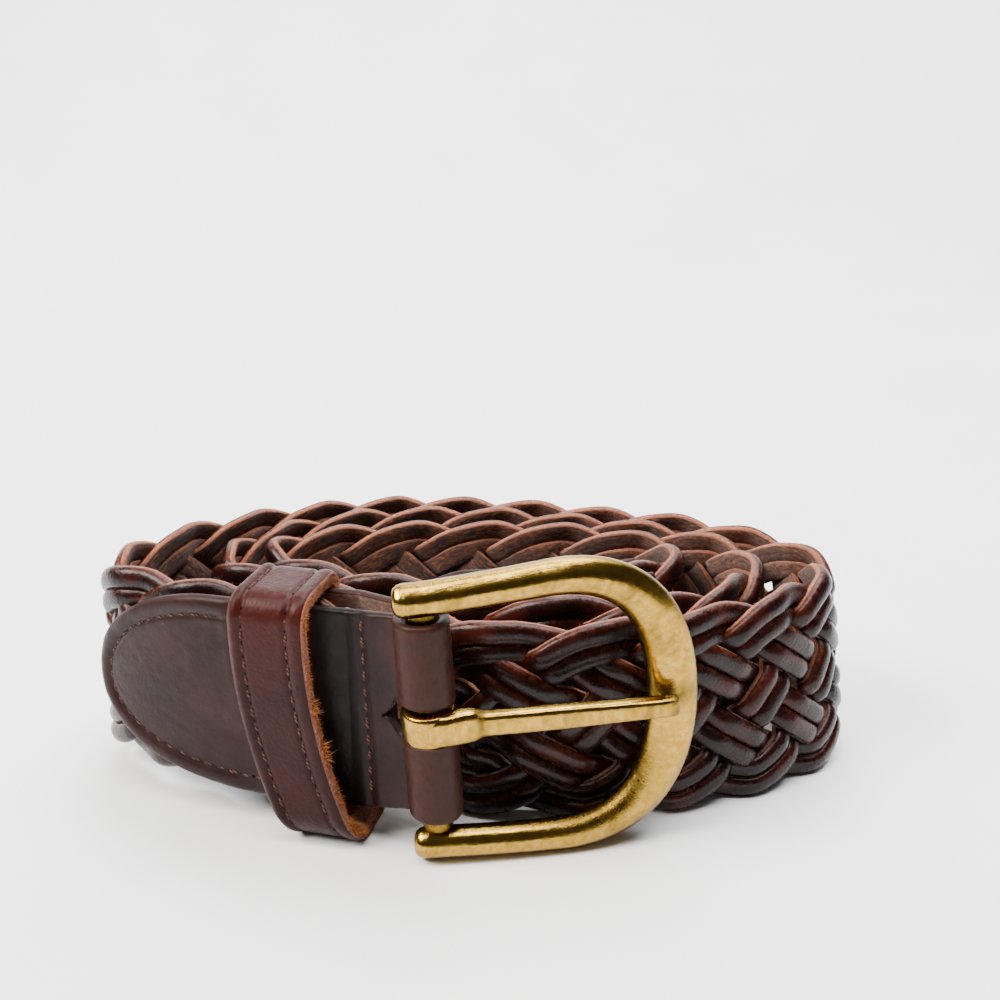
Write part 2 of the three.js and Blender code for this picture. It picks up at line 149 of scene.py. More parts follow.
# The places that set the strap's way, as in the part's source. rise: share of a lace's zigzag
# that climbs to the right.
pass_columns = ("side", "layers", "slack", "at", "slope", "arrive", "leave", "pitch", "lean", "lift", "rise")
passes = [dict(zip(pass_columns, row)) for row in (
    ("left", 0, 0, 0.43, 0, 0.4, 0.27, 1, 3, 0.6, 0.47),
    ("back", 0, 0, -0.1, 0, 0.5, 0.5, 0.97, 3, 0, 0.47),
    ("right", 0, 0, 0.51, 0, 0.6, 0.6, 1.05, 8, 0, 0.44),
    ("front", 0, 0.03, 0.24, 0, 0.42, 0.4, 1.2, 0, 0, 0.37),
    ("front", 0, 0.2, -0.17, 26, 0.25, 0.4, 1.1, 0, 0, 0.4),
    ("left", 1, 0.2, 0.56, 0, 0.42, 0.55, 1, 3, 0, 0.47),
    ("back", 1, 0.02, -0.06, 0, 0.5, 0.5, 0.97, 2.5, 0, 0.47),
    ("right", 1, 0.13, 0.54, 0, 0.6, 0.6, 1, 4, 0, 0.45),
    ("front", 1, 0.08, 0.42, 0, 0.4, 0.2, 1.1, 1, 0, 0.42),
    ("left", 2, 0.26, 0.605, 0, 0.42, 0.6, 1, 2, 0, 0.47),
    ("back", 2, 0.06, 0, 0, 0.5, 0.5, 0.97, 2, 0, 0.47),
    ("right", 2, 0.25, 0.61, 0, 0.8, 0.75, 1, 3, 0, 0.47),
    ("front", 2, 0.18, 0.24, 0, 0.5, 0.4, 1, 1, 0, 0.47),
    ("left", 3, 0.27, 0.6, 0, 0.4, 0.5, 1, 0, 0, 0.47),
)]


# Small helpers

def smoothstep(x, low, high):
    t = np.clip((np.asarray(x, float) - low) / (high - low), 0, 1)
    return t * t * (3 - 2 * t)


def bell(x, width):
    """1 at nought, fading to 0 some widths away."""
    return np.exp(-(x / width) ** 2)


def unit(v):
    v = np.asarray(v, float)
    return v / np.maximum(np.linalg.norm(v, axis=-1, keepdims=True), 1e-9)


def wave(x, seed, scale):
    """Smooth random number between about -1 and 1 along a length, one per scale."""
    draw = np.random.default_rng(seed)
    total = np.zeros_like(np.asarray(x, float))
    for octave in range(3):
        knots = draw.uniform(-1, 1, 4096)
        place = np.asarray(x, float) * (2 ** octave) / scale + 700
        i = np.floor(place).astype(int)
        f = place - i
        f = f * f * (3 - 2 * f)
        total += (knots[i % 4096] * (1 - f) + knots[(i + 1) % 4096] * f) / (1.7 ** octave)
    return total / 1.9


def run_of(line):
    """How far along a line of points each of them lies."""
    return np.concatenate([[0], np.cumsum(np.linalg.norm(np.diff(line, axis=0), axis=1))])


def read_at(places, run, table):
    """A table's columns read at some places along its run."""
    return np.stack([np.interp(places, run, column) for column in table.T], -1)


def bezier(p0, p1, p2, p3, count):
    t = np.linspace(0, 1, count)[:, None]
    return (1 - t) ** 3 * p0 + 3 * (1 - t) ** 2 * t * p1 + 3 * (1 - t) * t ** 2 * p2 + t ** 3 * p3


def join(parts):
    """One mesh from several, each as points, faces, the finish of each face, and marks."""
    points, faces, finish_of, marks, count = [], [], [], [], 0
    for part_points, part_faces, part_finish, part_marks in parts:
        faces += [tuple(k + count for k in face) for face in part_faces]
        finish_of += part_finish
        points.append(part_points)
        marks.append(part_marks)
        count += len(part_points)
    return np.concatenate(points), faces, finish_of, np.concatenate(marks)


def make_piece(name, points, faces, finishes, finish_of=None, marks=None, smooth=True):
    """Mesh from points in millimetres. marks: three numbers a point that the materials read."""
    mesh = bpy.data.meshes.new(name)
    mesh.from_pydata((np.asarray(points, float) * 0.001).tolist(), [], [list(f) for f in faces])
    for finish in finishes:
        mesh.materials.append(finish)
    if finish_of is not None:
        mesh.polygons.foreach_set("material_index", np.asarray(finish_of, np.int32))
    if marks is not None:
        layer = mesh.attributes.new("marks", "FLOAT_VECTOR", "POINT")
        layer.data.foreach_set("vector", np.asarray(marks, np.float32).ravel())
    mesh.polygons.foreach_set("use_smooth", np.full(len(mesh.polygons), smooth))
    mesh.update()
    piece = bpy.data.objects.new(name, mesh)
    bpy.context.scene.collection.objects.link(piece)
    return piece


def ring_faces(rows, around, first=0, closed_way=False, caps=True):
    """Quads through rows of rings, with flat ends unless the way closes on itself."""
    faces = []
    last_row = rows if closed_way else rows - 1
    for i in range(last_row):
        a = first + i * around
        b = first + ((i + 1) % rows) * around
        for j in range(around):
            k = (j + 1) % around
            faces.append((a + j, a + k, b + k, b + j))
    if caps and not closed_way:
        end = first + (rows - 1) * around
        faces.append(tuple(first + j for j in reversed(range(around))))
        faces.append(tuple(end + j for j in range(around)))
    return faces


# Materials

def tint(code):
    """sRGB hex colour as linear numbers."""
    channels = [int(code[i:i + 2], 16) / 255 for i in (1, 3, 5)]
    return [c / 12.92 if c <= 0.04045 else ((c + 0.055) / 1.055) ** 2.4 for c in channels] + [1.0]


def add(mat, kind, out, links, stops=(), **settings):
    """Adds a node and gives one of its outputs. links: values, colour codes or sources for its
    sockets, by name or in their order, which for MapRange is value, from and to."""
    new = mat.node_tree.nodes.new("ShaderNode" + kind)
    for key, value in settings.items():
        setattr(new, key, value)
    for key, value in links.items() if isinstance(links, dict) else enumerate(links):
        if isinstance(value, bpy.types.NodeSocket):
            mat.node_tree.links.new(value, new.inputs[key])
        else:
            new.inputs[key].default_value = tint(value) if isinstance(value, str) else value
    for i, (place, code) in enumerate(stops):
        if i > 1:
            new.color_ramp.elements.new(1.0)
        new.color_ramp.elements[i].position = place
        new.color_ramp.elements[i].color = tint(code)
    return new.outputs[out] if out is not None else None


def new_finish(name):
    mat = bpy.data.materials.new(name)
    mat.use_nodes = True
    mat.node_tree.nodes.clear()
    return mat


# Each leather piece carries marks: millimetres along it, millimetres round it, and its wear from
# 0 to 1, on the laces with painted light on edges that face up, or less than 0 where painted shade is laid
# on. Every pattern below is laid out on the first two.

def read_marks(mat):
    """The piece's marks, the same without the third, and the third alone: wear, with painted light on the
    laces and painted shade below nought.
    """
    marks = add(mat, "Attribute", "Vector", {}, attribute_name="marks")
    own = add(mat, "VectorMath", 0, (marks, (1, 1, 0)), operation="MULTIPLY")
    return marks, own, add(mat, "SeparateXYZ", "Z", (marks,))


def waxed_lace_grain():
    """Full-grain leather dyed nearly black and waxed: a broken gloss over fine cross creases, with
    the dye rubbed red-brown along the lace's edges, most where they face up, which is partly painted light.
    Creases are 0.7 mm apart, pores 0.4 mm."""
    mat = new_finish("waxed_full_grain_lace")
    marks, own, wear = read_marks(mat)
    long = add(mat, "VectorMath", 0, (marks, (1.5, 0.4, 0)), operation="MULTIPLY")
    cloud = add(mat, "TexNoise", "Fac", {"Vector": own, "Scale": 0.13, "Detail": 5.0})
    base = add(mat, "ValToRGB", "Color", (cloud,),
               stops=((0.32, "#0c0303"), (0.52, "#1a0706"), (0.72, "#34110a")))
    grit = add(mat, "TexNoise", "Fac", {"Vector": own, "Scale": 1.1, "Detail": 5.0})
    rub = add(mat, "MapRange", "Result", (grit, 0.35, 0.7))
    # Red-brown rub by the edges, stronger where they face up: wear plus painted light.
    rubbed = add(mat, "Math", 0, (wear, rub), operation="MULTIPLY")
    base = add(mat, "Mix", 2, {"Factor": rubbed, 6: base, 7: "#5c2711"}, data_type="RGBA")
    creases = add(mat, "TexNoise", "Fac", {"Vector": long, "Scale": 1.4, "Detail": 6.0, "Roughness": 0.65})
    pores = add(mat, "TexVoronoi", "Distance", {"Vector": own, "Scale": 2.6})
    bump = add(mat, "Bump", 0, {"Height": creases, "Strength": 0.5, "Distance": 0.00022})
    bump = add(mat, "Bump", 0, {"Height": pores, "Strength": 0.3, "Distance": 0.0001, "Normal": bump})
    gloss_noise = add(mat, "TexNoise", "Fac", {"Vector": own, "Scale": 0.55, "Detail": 4.0})
    gloss = add(mat, "MapRange", "Result", (gloss_noise, 0.3, 0.7, 0.16, 0.34))
    shader = add(mat, "BsdfPrincipled", 0, {
        "Base Color": base, "Roughness": gloss, "Normal": bump, "IOR": 1.5, "Specular IOR Level": 0.14,
        "Coat Weight": 0.08, "Coat Roughness": 0.1,
    })
    add(mat, "OutputMaterial", None, {"Surface": shader})
    return mat


def raw_cut_edge():
    """The undyed middle of the hide where it was cut: orange-tan and fibrous where it has been rubbed and, on
    the laces, where it faces up, which is partly painted light; dark brown where wax and dirt have soaked in
    and, on the laces, where it faces down, which is painted shade. Fibres are 0.3 mm wide."""
    mat = new_finish("raw_cut_leather_edge")
    marks, own, wear = read_marks(mat)
    fine = add(mat, "VectorMath", 0, (marks, (1, 2.2, 0)), operation="MULTIPLY")
    fibre = add(mat, "TexNoise", "Fac", {"Vector": fine, "Scale": 1.8, "Detail": 6.0, "Roughness": 0.75})
    bright = add(mat, "ValToRGB", "Color", (fibre,),
                 stops=((0.36, "#3d1606"), (0.46, "#8f3f10"), (0.56, "#c2621d"), (0.68, "#e8a155")))
    dirt = add(mat, "TexNoise", "Fac", {"Vector": own, "Scale": 0.2, "Detail": 4.0})
    clean = add(mat, "MapRange", "Result", (dirt, 0.64, 0.46, 0.6, 1.0))
    # On the laces the wear is higher on edges facing up: the orange is partly painted light, the dark brown
    # partly painted shade.
    shown = add(mat, "Math", 0, (wear, clean), operation="MULTIPLY")
    base = add(mat, "Mix", 2, {"Factor": shown, 6: "#1d0b06", 7: bright}, data_type="RGBA")
    bump = add(mat, "Bump", 0, {"Height": fibre, "Strength": 1.0, "Distance": 0.0007})
    shader = add(mat, "BsdfPrincipled", 0, {
        "Base Color": base, "Roughness": 0.9, "Normal": bump, "Specular IOR Level": 0.15,
        "Sheen Weight": 0.25, "Sheen Roughness": 0.6,
    })
    add(mat, "OutputMaterial", None, {"Surface": shader})
    return mat


def rough_flesh_side():
    """The rough inner side of the hide: dark rust-brown suede with paler standing tufts about
    half a millimetre across."""
    mat = new_finish("rough_flesh_side_suede")
    marks, own, _ = read_marks(mat)
    drawn = add(mat, "VectorMath", 0, (marks, (0.55, 1.3, 0)), operation="MULTIPLY")
    nap = add(mat, "TexNoise", "Fac", {"Vector": drawn, "Scale": 1.5, "Detail": 7.0, "Roughness": 0.75})
    base = add(mat, "ValToRGB", "Color", (nap,),
               stops=((0.36, "#190904"), (0.47, "#4a200c"), (0.57, "#86471b"), (0.68, "#c98943")))
    dirt = add(mat, "TexNoise", "Fac", {"Vector": own, "Scale": 0.11, "Detail": 4.0})
    dirty = add(mat, "MapRange", "Result", (dirt, 0.38, 0.62, 0.0, 0.6))
    base = add(mat, "Mix", 2, {"Factor": dirty, 6: base, 7: "#220e07"}, data_type="RGBA")
    bump = add(mat, "Bump", 0, {"Height": nap, "Strength": 1.0, "Distance": 0.0006})
    shader = add(mat, "BsdfPrincipled", 0, {
        "Base Color": base, "Roughness": 0.95, "Normal": bump, "Specular IOR Level": 0.1,
        "Sheen Weight": 0.3, "Sheen Roughness": 0.6,
    })
    add(mat, "OutputMaterial", None, {"Surface": shader})
    return mat


def dressed_calf(name, codes, worn_code, wrinkle):
    """Smooth dressed calf with a soft sheen, redder and faintly streaked where it is folded or
    rubbed, nearly black where painted shade is laid on, and with a fine pebble 0.6 mm across."""
    mat = new_finish(name)
    marks, own, wear = read_marks(mat)
    upright = add(mat, "VectorMath", 0, (marks, (1.6, 0.5, 0)), operation="MULTIPLY")
    cloud = add(mat, "TexNoise", "Fac", {"Vector": own, "Scale": 0.08, "Detail": 6.0})
    base = add(mat, "ValToRGB", "Color", (cloud,),
               stops=((0.3, codes[0]), (0.52, codes[1]), (0.74, codes[2])))
    streaks = add(mat, "TexNoise", "Fac", {"Vector": upright, "Scale": 1.2, "Detail": 6.0})
    shown = add(mat, "MapRange", "Result", (streaks, 0.3, 0.62, 0.35, 1.0))
    worn = add(mat, "Math", 0, (wear, shown), operation="MULTIPLY")
    base = add(mat, "Mix", 2, {"Factor": worn, 6: base, 7: worn_code}, data_type="RGBA")
    # Painted shade: marks below nought darken the leather nearly to black.
    painted_shade = add(mat, "MapRange", "Result", (wear, 0.0, -1.0))
    base = add(mat, "Mix", 2, {"Factor": painted_shade, 6: base, 7: "#080303"}, data_type="RGBA")
    dots = add(mat, "TexNoise", "Fac", {"Vector": own, "Scale": 2.2, "Detail": 3.0})
    specks = add(mat, "MapRange", "Result", (dots, 0.68, 0.8, 0.0, 0.3))
    base = add(mat, "Mix", 2, {"Factor": specks, 6: base, 7: "#4a2e27"}, data_type="RGBA")
    cells = add(mat, "TexVoronoi", "Distance", {"Vector": own, "Scale": 1.7})
    bump = add(mat, "Bump", 0, {"Height": cells, "Strength": wrinkle, "Distance": 0.00015})
    swell = add(mat, "TexNoise", "Fac", {"Vector": own, "Scale": 0.5, "Detail": 7.0})
    bump = add(mat, "Bump", 0, {"Height": swell, "Strength": 0.3, "Distance": 0.0004, "Normal": bump})
    gloss = add(mat, "MapRange", "Result", (swell, 0.3, 0.7, 0.34, 0.52))
    shader = add(mat, "BsdfPrincipled", 0, {
        "Base Color": base, "Roughness": gloss, "Normal": bump, "Specular IOR Level": 0.11,
        "Coat Weight": 0.02, "Coat Roughness": 0.3,
    })
    add(mat, "OutputMaterial", None, {"Surface": shader})
    return mat


def sewing_thread():
    """Twisted waxed thread, pinkish brown, in darker and paler bands along its twist. The twist is drawn
    0.5 mm long, coarser than the real one, so that it shows."""
    mat = new_finish("waxed_sewing_thread")
    marks = add(mat, "Attribute", "Vector", {}, attribute_name="marks")
    twist = add(mat, "TexWave", "Fac", {"Vector": marks, "Scale": 0.9, "Distortion": 2.0},
                bands_direction="DIAGONAL")
    base = add(mat, "ValToRGB", "Color", (twist,),
               stops=((0.1, "#190b08"), (0.5, "#3c221a"), (0.9, "#5c3a2e")))
    bump = add(mat, "Bump", 0, {"Height": twist, "Strength": 0.6, "Distance": 0.00015})
    shader = add(mat, "BsdfPrincipled", 0, {
        "Base Color": base, "Roughness": 0.7, "Normal": bump, "Specular IOR Level": 0.25,
    })
    add(mat, "OutputMaterial", None, {"Surface": shader})
    return mat


def pricked_hole():
    """The pricked hole at each end of a stitch, slightly torn, coloured near black as painted shade for its
    depth.
    """
    mat = new_finish("pricked_needle_hole")
    marks = add(mat, "Attribute", "Vector", {}, attribute_name="marks")
    torn = add(mat, "TexNoise", "Fac", {"Vector": marks, "Scale": 2.0, "Detail": 2.0})
    # Painted shade: near black for the shade inside the hole.
    base = add(mat, "ValToRGB", "Color", (torn,), stops=((0.3, "#050303"), (0.8, "#140b0a")))
    shader = add(mat, "BsdfPrincipled", 0, {"Base Color": base, "Roughness": 0.9, "Specular IOR Level": 0.1})
    add(mat, "OutputMaterial", None, {"Surface": shader})
    return mat


def loose_fibre():
    """Loose ends of hide fibre, dull orange-tan."""
    mat = new_finish("loose_hide_fibre")
    marks = add(mat, "Attribute", "Vector", {}, attribute_name="marks")
    tone = add(mat, "TexNoise", "Fac", {"Vector": marks, "Scale": 0.7, "Detail": 2.0})
    base = add(mat, "ValToRGB", "Color", (tone,),
               stops=((0.3, "#5a2a14"), (0.5, "#9c5a2c"), (0.75, "#cb9560")))
    shader = add(mat, "BsdfPrincipled", 0, {"Base Color": base, "Roughness": 0.9, "Specular IOR Level": 0.1})
    add(mat, "OutputMaterial", None, {"Surface": shader})
    return mat


def aged_brass():
    """Cast brass, polished and then handled for years: warm gold, with brown oxide in the hollows
    and on the back, pits 0.5 mm apart on the worn stretches, and hairline scratches along it."""
    mat = new_finish("aged_cast_brass")
    marks, own, wear = read_marks(mat)
    drawn = add(mat, "VectorMath", 0, (marks, (0.22, 3.0, 0)), operation="MULTIPLY")
    patch = add(mat, "TexNoise", "Fac", {"Vector": own, "Scale": 0.16, "Detail": 7.0, "Roughness": 0.62})
    dull = add(mat, "MapRange", "Result", (patch, 0.48, 0.68, 0.0, 0.55))
    edge_noise = add(mat, "TexNoise", "Fac", {"Vector": own, "Scale": 0.9, "Detail": 6.0, "Roughness": 0.7})
    speckle = add(mat, "MapRange", "Result", (edge_noise, 0.38, 0.56, 0.25, 1.0))
    worn = add(mat, "Math", 0, (wear, speckle), operation="MULTIPLY")
    tarnish = add(mat, "Math", 0, (dull, worn), operation="MAXIMUM")
    clean = add(mat, "ValToRGB", "Color", (edge_noise,),
                stops=((0.3, "#86661f"), (0.5, "#9f7d31"), (0.75, "#bc9b50")))
    base = add(mat, "Mix", 2, {"Factor": tarnish, 6: clean, 7: "#382910"}, data_type="RGBA")
    scratch = add(mat, "TexNoise", "Fac", {"Vector": drawn, "Scale": 1.6, "Detail": 5.0})
    pits = add(mat, "TexVoronoi", "Distance", {"Vector": own, "Scale": 1.5})
    pit = add(mat, "MapRange", "Result", (pits, 0.1, 0.3))
    deep = add(mat, "Math", 0, (pit, worn), operation="MULTIPLY")
    bump = add(mat, "Bump", 0, {"Height": deep, "Strength": 0.35, "Distance": 0.0002})
    bump = add(mat, "Bump", 0, {"Height": scratch, "Strength": 0.12, "Distance": 0.0001, "Normal": bump})
    bump = add(mat, "Bump", 0, {"Height": patch, "Strength": 0.25, "Distance": 0.0006, "Normal": bump})
    gloss = add(mat, "MapRange", "Result", (tarnish, 0.0, 1.0, 0.17, 0.45))
    shader = add(mat, "BsdfPrincipled", 0, {
        "Base Color": base, "Metallic": 1.0, "Roughness": gloss, "Normal": bump,
    })
    add(mat, "OutputMaterial", None, {"Surface": shader})
    return mat


def matt_white_board():
    """Matt white board with a trace of dust."""
    mat = new_finish("matt_white_board")
    place = add(mat, "TexCoord", "Object", {})
    dust = add(mat, "TexNoise", "Fac", {"Vector": place, "Scale": 14.0, "Detail": 4.0})
    base = add(mat, "ValToRGB", "Color", (dust,), stops=((0.3, "#efeff0"), (0.7, "#f5f4f3")))
    shader = add(mat, "BsdfPrincipled", 0, {"Base Color": base, "Roughness": 0.7, "Specular IOR Level": 0.2})
    add(mat, "OutputMaterial", None, {"Surface": shader})
    return mat


grain = waxed_lace_grain()
raw_edge = raw_cut_edge()
flesh = rough_flesh_side()
tab_skin = dressed_calf("dressed_calf_tab", ("#170a09", "#22110f", "#2d1816"), "#31170f", 0.14)
keeper_skin = dressed_calf("dressed_calf_keeper", ("#160605", "#200a08", "#2a100c"), "#360e09", 0.3)
thread = sewing_thread()
hole = pricked_hole()
fibre = loose_fibre()
brass = aged_brass()


# The strap's way in plan

def pass_point(row):
    inset = row["layers"] * turn_pitch
    if row["side"] == "left":
        return np.array([-(coil_left * (1 - row["slack"]) - inset), coil_depth * row["at"]])
    if row["side"] == "right":
        return np.array([coil_right * (1 - row["slack"]) - inset, coil_depth * row["at"]])
    if row["side"] == "back":
        return np.array([coil_right * row["at"], coil_depth * (1 - row["slack"]) - inset])
    return np.array([coil_right * row["at"], front_clear + coil_depth * row["slack"] + inset])


def make_route():
    """The strap's middle line as columns against its length."""
    ways = {"left": (0, 1), "back": (1, 0), "right": (0, -1), "front": (-1, 0)}
    slope = math.radians(tab_slope)
    knots = [dict(point=np.array([-braid_start, fold_setback]),
                  way=np.array([-math.cos(slope), math.sin(slope)]),
                  leave=tab_straight, pitch=1, lean=0, rise=0.47, lift=strap_lift)]
    for row in passes:
        turn = -math.radians(row["slope"])
        x, y = ways[row["side"]]
        way = np.array([x * math.cos(turn) - y * math.sin(turn), x * math.sin(turn) + y * math.cos(turn)])
        knots.append(dict(row, point=pass_point(row), way=way, lift=row["lift"] * strap_lift))
    line = [knots[0]["point"][None]]
    marks = [0.0]
    for a, b in zip(knots, knots[1:]):
        gap = b["point"] - a["point"]
        p1 = a["point"] + a["way"] * a["leave"] * abs(gap @ a["way"])
        p2 = b["point"] - b["way"] * b["arrive"] * abs(gap @ b["way"])
        arc = bezier(a["point"], p1, p2, b["point"], 401)
        line.append(arc[1:])
        marks.append(marks[-1] + np.linalg.norm(np.diff(arc, axis=0), axis=1).sum())
    line = np.concatenate(line)
    run = run_of(line)
    s = np.arange(0, run[-1], 0.2)
    plan = read_at(s, run, line)
    tangent = unit(np.gradient(plan, axis=0))
    columns = {}
    part = np.clip(np.searchsorted(marks, s, side="right") - 1, 0, len(knots) - 2)
    share = smoothstep(s, np.array(marks)[part], np.array(marks)[part + 1])
    for name in ("pitch", "lean", "lift", "rise"):
        values = np.array([k[name] for k in knots], float)
        columns[name] = values[part] * (1 - share) + values[part + 1] * share
    return dict(s=s, x=plan[:, 0], y=plan[:, 1], tx=tangent[:, 0], ty=tangent[:, 1],
                pitch=columns["pitch"] * braid_pitch, lean=np.tan(np.radians(columns["lean"])),
                lift=columns["lift"], rise=columns["rise"])


route = make_route()


def along(s, *names):
    return [np.interp(s, route["s"], route[name]) for name in names]


def strap_place(s, n, w):
    """Point beside the strap's middle line: n outwards, w above its lower edge."""
    x, y, tx, ty, lean, lift = along(s, "x", "y", "tx", "ty", "lean", "lift")
    across = n - lean * w
    return np.stack([bar[0] + x - ty * across, bar[1] + y + tx * across, lift + w], -1)


def hump_count():
    """How many humps of the braid's upper edge lie before each place."""
    shares = (0.13, 0.3, 0.5, 0.7, 0.87)
    s, places, humps = 0.0, [0.0], [shares[0]]
    count = 0
    while s < strap_length:
        step = (shares[(count + 1) % 5] - shares[count % 5]) % 1
        s += float(along(s, "pitch")[0]) * step
        places.append(s)
        humps.append(humps[-1] + step)
        count += 1
    return np.array(places), np.array(humps)


hump_places, hump_numbers = hump_count()


# Braid: pairs of laces that climb and fall between the two edges

pairs = 6
lace_half = 1.8
lace_thick = 1.85
pair_half = 1.77
zigzag_height = 14.05
braid_rise = 0.15
layer_step = 1.0
fall_round = 0.24


def zigzag(phase, rise):
    """Height of a pair's middle about the strap's, rising in the first share of its phase."""
    up = -np.cos(np.pi * np.clip(phase / rise, 0, 1))
    q = np.clip((phase - rise) / (1 - rise), 0, 1)
    e = fall_round
    slope = 1 / (1 - e)
    ease = np.where(q < e, slope * q * q / (2 * e), np.where(
        q > 1 - e, 1 - slope * (1 - q) ** 2 / (2 * e), slope * (q - e / 2)))
    return np.where(phase < rise, up, 1 - 2 * ease)


def crossing_table():
    """Phases at which a pair crosses the other five, climbing and falling, for some rises."""
    rises = np.linspace(0.34, 0.5, 9)
    rows = []
    for rise in rises:
        climb = np.linspace(0, rise, 2001)
        met = {}
        for k in range(1, pairs):
            gap = zigzag(climb, rise) - zigzag(climb + k / pairs, rise)
            ok = (climb + k / pairs >= rise) & (climb + k / pairs <= 1)
            gap = np.where(ok, np.abs(gap), 9)
            met[k] = climb[int(np.argmin(gap))]
        rows.append([met[k] for k in range(pairs - 1, 0, -1)] + [met[k] + k / pairs for k in range(1, pairs)])
    return rises, np.array(rows)


crossing_rises, crossing_phases = crossing_table()


def over_under(phase, rise):
    """+1 where a pair lies on the grain side, -1 where it lies under."""
    marks = np.stack([np.interp(rise, crossing_rises, crossing_phases[:, j]) for j in range(10)], -1)
    level = np.zeros_like(phase)
    for j in range(-1, 10):
        low = marks[:, j] - (1 if j < 0 else 0)
        high = marks[:, j + 1] if j < 9 else marks[:, 0] + 1
        sign = 1 if j % 2 == 0 else -1
        inside = (phase >= low) & (phase < high)
        c = np.cos(np.pi * (phase - low) / (high - low))
        c = np.clip(c * 1.45, -1, 1)
        level = np.where(inside, sign * c * (3 - c * c) / 2, level)
    return level


# Outline of a lace's section, as shares of its half width and half thickness: the grain is
# crowned and its shoulders are rounded, the cut edges are square and the flesh side is flat.
lace_outline = (
    (-1, -0.8), (-1.03, -0.4), (-1, 0.0), (-0.95, 0.4), (-0.78, 0.82), (-0.42, 1.14), (0, 1.24),
    (0.42, 1.14), (0.78, 0.82), (0.95, 0.4), (1, 0.0), (1.03, -0.4), (1, -0.8), (0.92, -1), (0.3, -1.02),
    (-0.3, -1.02), (-0.92, -1),
)
# Finish of the face that follows each point: 0 grain, 1 cut edge, 2 flesh side.
lace_sides = (1, 1, 0, 0, 0, 0, 0, 0, 0, 0, 1, 1, 1, 2, 2, 2, 1)
lace_step = 0.95
# Degrees that a lace tips over the strap's edge, and that it twists at random.
edge_tip = 15
lace_twist = 6


def lace_line(pair, lace):
    """Middle line of one lace as places on the strap (s, n, w)."""
    s = np.arange(-6, strap_length + 6, 0.25)
    rise, = along(s, "rise")
    humps = np.interp(s, hump_places, hump_numbers)
    humps += np.minimum(s, 0) / braid_pitch + np.maximum(s - hump_places[-1], 0) / braid_pitch
    phase = np.mod(rise + (pair - humps) / pairs, 1)
    from_end = np.minimum(s, strap_length - s)
    squeeze = 0.87 + 0.13 * smoothstep(from_end, 1, 9)
    w = strap_width / 2 + braid_rise + squeeze * zigzag_height * zigzag(phase, rise)
    w = w + 0.3 * wave(s, 40 + pair, 31)
    n = layer_step * over_under(phase, rise)
    side = (1 if lace else -1) * (pair_half + 0.1 * wave(s, 60 + 2 * pair + lace, 17))
    slope = -np.gradient(w, s)
    length = np.hypot(1, slope)
    n = n + 0.1 * wave(s, 80 + 2 * pair + lace, 9)
    return s + side * slope / length, n, w + side / length


def lace_rings(pair, lace):
    s, n, w = lace_line(pair, lace)
    points = strap_place(s, n, w)
    keep = (s > 0.3) & (s < strap_length - 0.3)
    s, w, points = s[keep], w[keep], points[keep]
    run = run_of(points)
    stops = np.linspace(0, run[-1], int(run[-1] / lace_step))
    spot = read_at(stops, run, points)
    s, w = np.interp(stops, run, s), np.interp(stops, run, w)
    tx, ty, lean = along(s, "tx", "ty", "lean")
    face = unit(np.stack([-ty, tx, lean], -1))
    way = unit(np.gradient(spot, axis=0))
    cross = unit(np.cross(face, way))
    face = np.cross(way, cross)
    # Near an edge the outer side of the lace tips over it.
    from_mid = w - strap_width / 2
    edge = smoothstep(np.abs(from_mid), 8, 17) * np.sign(from_mid) * np.sign(cross[:, 2])
    roll = np.radians(edge_tip) * edge + np.radians(lace_twist) * wave(stops, 100 + 2 * pair + lace, 13)
    side = cross * np.cos(roll)[:, None] - face * np.sin(roll)[:, None]
    up = face * np.cos(roll)[:, None] + cross * np.sin(roll)[:, None]
    half = lace_half * (1 + 0.04 * wave(stops, 120 + 2 * pair + lace, 8))
    thick = lace_thick / 2 * (1 + 0.06 * wave(stops, 140 + 2 * pair + lace, 11))
    rings, marks = [], []
    for j, (a, b) in enumerate(lace_outline):
        seed = 1000 + 40 * pair + 20 * lace + j
        raw = 1 if b < 0.3 else 0
        rough = (0.03 + 0.05 * raw + 0.05 * (b < -0.9)) * wave(stops, seed, 1.4 if raw else 6)
        rings.append(spot + side * (a * half + np.sign(a) * rough)[:, None]
                     + up * (b * thick + rough * 0.7)[:, None])
        # Edges that face up, most of all high on the strap, are rubbed clean and so is the grain beside them;
        # this is partly painted light from above, and edges facing down stay dark as painted shade.
        upward_rub_and_light = smoothstep(np.sign(a) * side[:, 2], -0.2, 0.45) * (0.4 + 0.6 * smoothstep(w, 12, 27))
        wear = upward_rub_and_light * np.clip((abs(a) - 0.6) / 0.35, 0, 1)
        round_it = np.full(len(stops), lace_round[j]) + 20 * (2 * pair + lace)
        marks.append(np.stack([stops + 1000 * pair + 137 * lace, round_it, wear], -1))
    return np.stack(rings, 1), np.stack(marks, 1)


lace_round = run_of(np.array(lace_outline) * [lace_half, lace_thick / 2])


